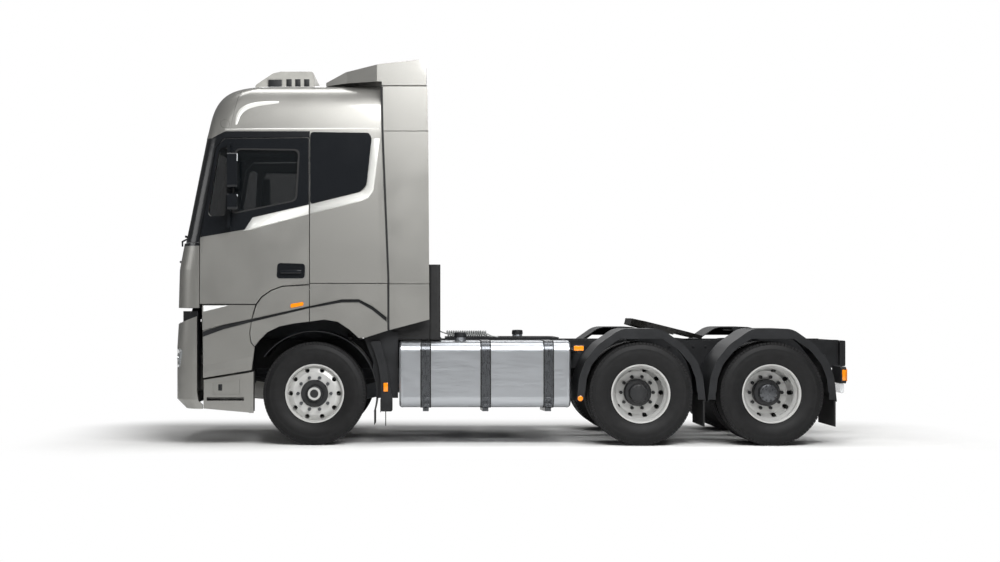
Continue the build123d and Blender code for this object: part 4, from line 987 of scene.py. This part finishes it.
# %% Coiled air lines
line_plastic, *_ = finish("coiled_nylon_air_line", "#8E908F", 0.4, tints=(60, "#858786", "#989A99"))
coil_x, coil_pitch, coil_r, tube_r, deck_top, steps_per_turn = 1360, 24, 30, 6.5, 1088, 12
coils = bmesh.new()
for coil_y, turns in ((-350, 18), (-255, 16)):
    helix = [(coil_x + coil_pitch * k / steps_per_turn,
              coil_y + coil_r * math.cos(math.tau * k / steps_per_turn),
              deck_top + tube_r + coil_r + coil_r * math.sin(math.tau * k / steps_per_turn))
             for k in range(turns * steps_per_turn + 1)]
    lead = [(1202, coil_y - 290, 1210), (1235, coil_y - 250, 1200), (1290, coil_y - 60, 1150)]
    tail = [(helix[-1][0] + 50, coil_y, 1100), (helix[-1][0] + 120, coil_y, 1090)]
    add_tube(coils, lead + helix + tail, tube_r, 8)
    coil_m = turns * math.hypot(math.tau * coil_r, coil_pitch) / 1000
    print("air line with", turns, "turns,", round(coil_m, 2), "m of coil")
make_piece("air_line_coils", coils, line_plastic, "chassis")

# %% [markdown]
# ## Seats and bunk
# Seats are foam under woven cloth: fat rounded cushions. They stand in the space that the plain solids keep for
# them. Soft blocks with a subdivision give the padded look without a cloth run.

# %% Padded seats and bunk
def soften(piece, node):
    swell = piece.modifiers.new("swell", "SUBSURF")
    swell.levels = swell.render_levels = 1
    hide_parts(node)


floor_z, seat_y, back_lean = 1436, 620, 0.13
form = bmesh.new()
for _, side in sides:
    mid = side * seat_y
    add_block(form, (-616, mid - 256, floor_z + 252), (-150, mid + 256, floor_z + 396), 58, 4)
    add_block(form, (-446, mid - 136, floor_z + 2), (-254, mid + 136, floor_z + 262), 24, 2)
    start = len(form.verts)
    add_block(form, (-232, mid - 246, floor_z + 384), (-104, mid + 246, floor_z + 960), 52, 4)
    add_block(form, (-214, mid - 130, floor_z + 970), (-120, mid + 130, floor_z + 1140), 40, 4)
    form.verts.ensure_lookup_table()
    for vert in form.verts[start:]:
        vert.co.x += (vert.co.z - (floor_z + 384) / 1000) * back_lean
soften(make_piece("seat_cushions", form, seat_cloth, "cab", 60), "seats")
form = bmesh.new()
add_block(form, (112, -1076, floor_z + 1), (638, 1076, floor_z + 270), 20, 2)
for y_low in (-1076, -356, 364):
    add_block(form, (114, y_low, floor_z + 268), (636, y_low + 712, floor_z + 416), 46, 4)
soften(make_piece("bunk_mattress", form, seat_cloth, "cab", 60), "bunk")
print("two seats and a bunk in three cushions")

# %% [markdown]
# ## Stage
# The photograph is a studio cut-out: the truck and its soft shadow on pure white. A white floor takes the shadow,
# and away from the truck the camera sees it, and the sky, as plain white. Neither puts that white on the truck: it
# is for the camera's own rays only, and every other ray meets a matt floor and a dim sky.

# %% Floor
floor_white, tree, shader = finish("white_studio_floor", "#E8E8E7", 0.9, tints=(900, "#E5E5E4", "#EBEBEA"),
                                   Specular_IOR_Level=0.1)
truck_half = (3.7, 1.0, 0)                  # half length and width that keep their shadow
fade_start, fade_end = 0.1, 1.6             # metres beyond that, over which the floor turns white
spot = add(tree, "ShaderNodeTexCoord").outputs["Object"]
outside = add(tree, "ShaderNodeVectorMath", {"operation": "ABSOLUTE"}, {0: spot}).outputs["Vector"]
outside = add(tree, "ShaderNodeVectorMath", {"operation": "SUBTRACT"}, {0: outside, 1: truck_half}).outputs["Vector"]
outside = add(tree, "ShaderNodeVectorMath", {"operation": "MAXIMUM"}, {0: outside, 1: (0, 0, 0)}).outputs["Vector"]
away = add(tree, "ShaderNodeVectorMath", {"operation": "LENGTH"}, {0: outside}).outputs["Value"]
fade = add(tree, "ShaderNodeMapRange", {"interpolation_type": "SMOOTHSTEP"},
           {"Value": away, "From Min": fade_start, "From Max": fade_end}).outputs["Result"]
seen = add(tree, "ShaderNodeLightPath").outputs["Is Camera Ray"]
share = add(tree, "ShaderNodeMath", {"operation": "MULTIPLY"}, {0: fade, 1: seen}).outputs["Value"]
white = add(tree, "ShaderNodeEmission", inputs={"Color": linear("#FFFFFF"), "Strength": 1.0}).outputs["Emission"]
blend = add(tree, "ShaderNodeMixShader", inputs={0: share, 1: shader.outputs["BSDF"], 2: white})
tree.links.new(blend.outputs["Shader"], tree.nodes["Material Output"].inputs["Surface"])
floor_half, floor_drop = 24.0, 0.001
form = bmesh.new()
form.faces.new([form.verts.new((x * floor_half, y * floor_half, -floor_drop))
                for x, y in ((-1, -1), (1, -1), (1, 1), (-1, 1))])
mesh = bpy.data.meshes.new("studio_floor")
form.to_mesh(mesh)
form.free()
mesh.materials.append(floor_white)
floor = bpy.data.objects.new("studio_floor", mesh)
bpy.context.collection.objects.link(floor)
print("floor", 2 * floor_half, "m square, white beyond", fade_end, "m from the truck")

# %% [markdown]
# Large soft lamps give the long, even reflections of a studio: one overhead, a strong one high on the side that the
# camera sees, a weak one at the nose and one on the far side that keeps the back from going black.

# %% Lamps and world
lamps = (("overhead", (0, -0.6, 9.5), (0, 0, 0), (10, 3.0), 480),
         ("front_left", (-11, -3.5, 3.8), (-3.5, 0, 1.8), (4, 3), 90),
         ("high_side", (1.4, -7.0, 6.6), (-1.2, -1.2, 2.6), (7, 3.5), 1020),
         ("far_side", (0, 9.0, 7.0), (0, 0, 1.5), (8, 3), 300))
for name, place, aim, size, power in lamps:
    lamp = bpy.data.lights.new(name, "AREA")
    lamp.shape, lamp.size, lamp.size_y, lamp.energy = "RECTANGLE", *size, power
    holder = bpy.data.objects.new(name, lamp)
    holder.location = place
    holder.rotation_euler = (Vector(aim) - Vector(place)).to_track_quat("-Z", "Y").to_euler()
    bpy.context.collection.objects.link(holder)
sky_fill = 0.16
world = bpy.context.scene.world or bpy.data.worlds.new("studio")
bpy.context.scene.world = world
world.use_nodes = True
sky = world.node_tree
seen = add(sky, "ShaderNodeLightPath").outputs["Is Camera Ray"]
strength = add(sky, "ShaderNodeMapRange", inputs={"Value": seen, "To Min": sky_fill, "To Max": 1.0})
sky.nodes["Background"].inputs["Color"].default_value = linear("#FFFFFF")
sky.links.new(strength.outputs["Result"], sky.nodes["Background"].inputs["Strength"])
print("lamps:", len(lamps), "and a sky that fills at", sky_fill)

# %% [markdown]
# ## Camera
# The camera stands square to the truck's left side, level, at the distance that the photograph's perspective gives.
# The lens is shifted rather than turned, so upright edges stay upright.

# %% Camera
photo_width, photo_height = 1000, 562
principal = (430, 312)                  # pixel that the lens points at
axle_column, ground_row = 313.8, 446    # pixels of the front axle and of the ground
stand_off = 14.5                        # metres from the truck's left side
near_scale = 0.01014                    # metres to one pixel, on that side
sensor_mm = 36.0
camera_data = bpy.data.cameras.new("camera")
camera_data.sensor_width = sensor_mm
camera_data.lens = sensor_mm * stand_off / (near_scale * photo_width)
camera_data.shift_x = (photo_width / 2 - principal[0]) / photo_width
camera_data.shift_y = (principal[1] - photo_height / 2) / photo_width
camera = bpy.data.objects.new("camera", camera_data)
camera.location = (axle_x[0] + (principal[0] - axle_column) * near_scale, -half_width - stand_off,
                   (ground_row - principal[1]) * near_scale)
camera.rotation_euler = (math.radians(90), 0, 0)
bpy.context.collection.objects.link(camera)
bpy.context.scene.camera = camera
bpy.context.scene.view_settings.view_transform = "Standard"
print("camera at", [round(v, 3) for v in camera.location], "lens", round(camera_data.lens, 1))
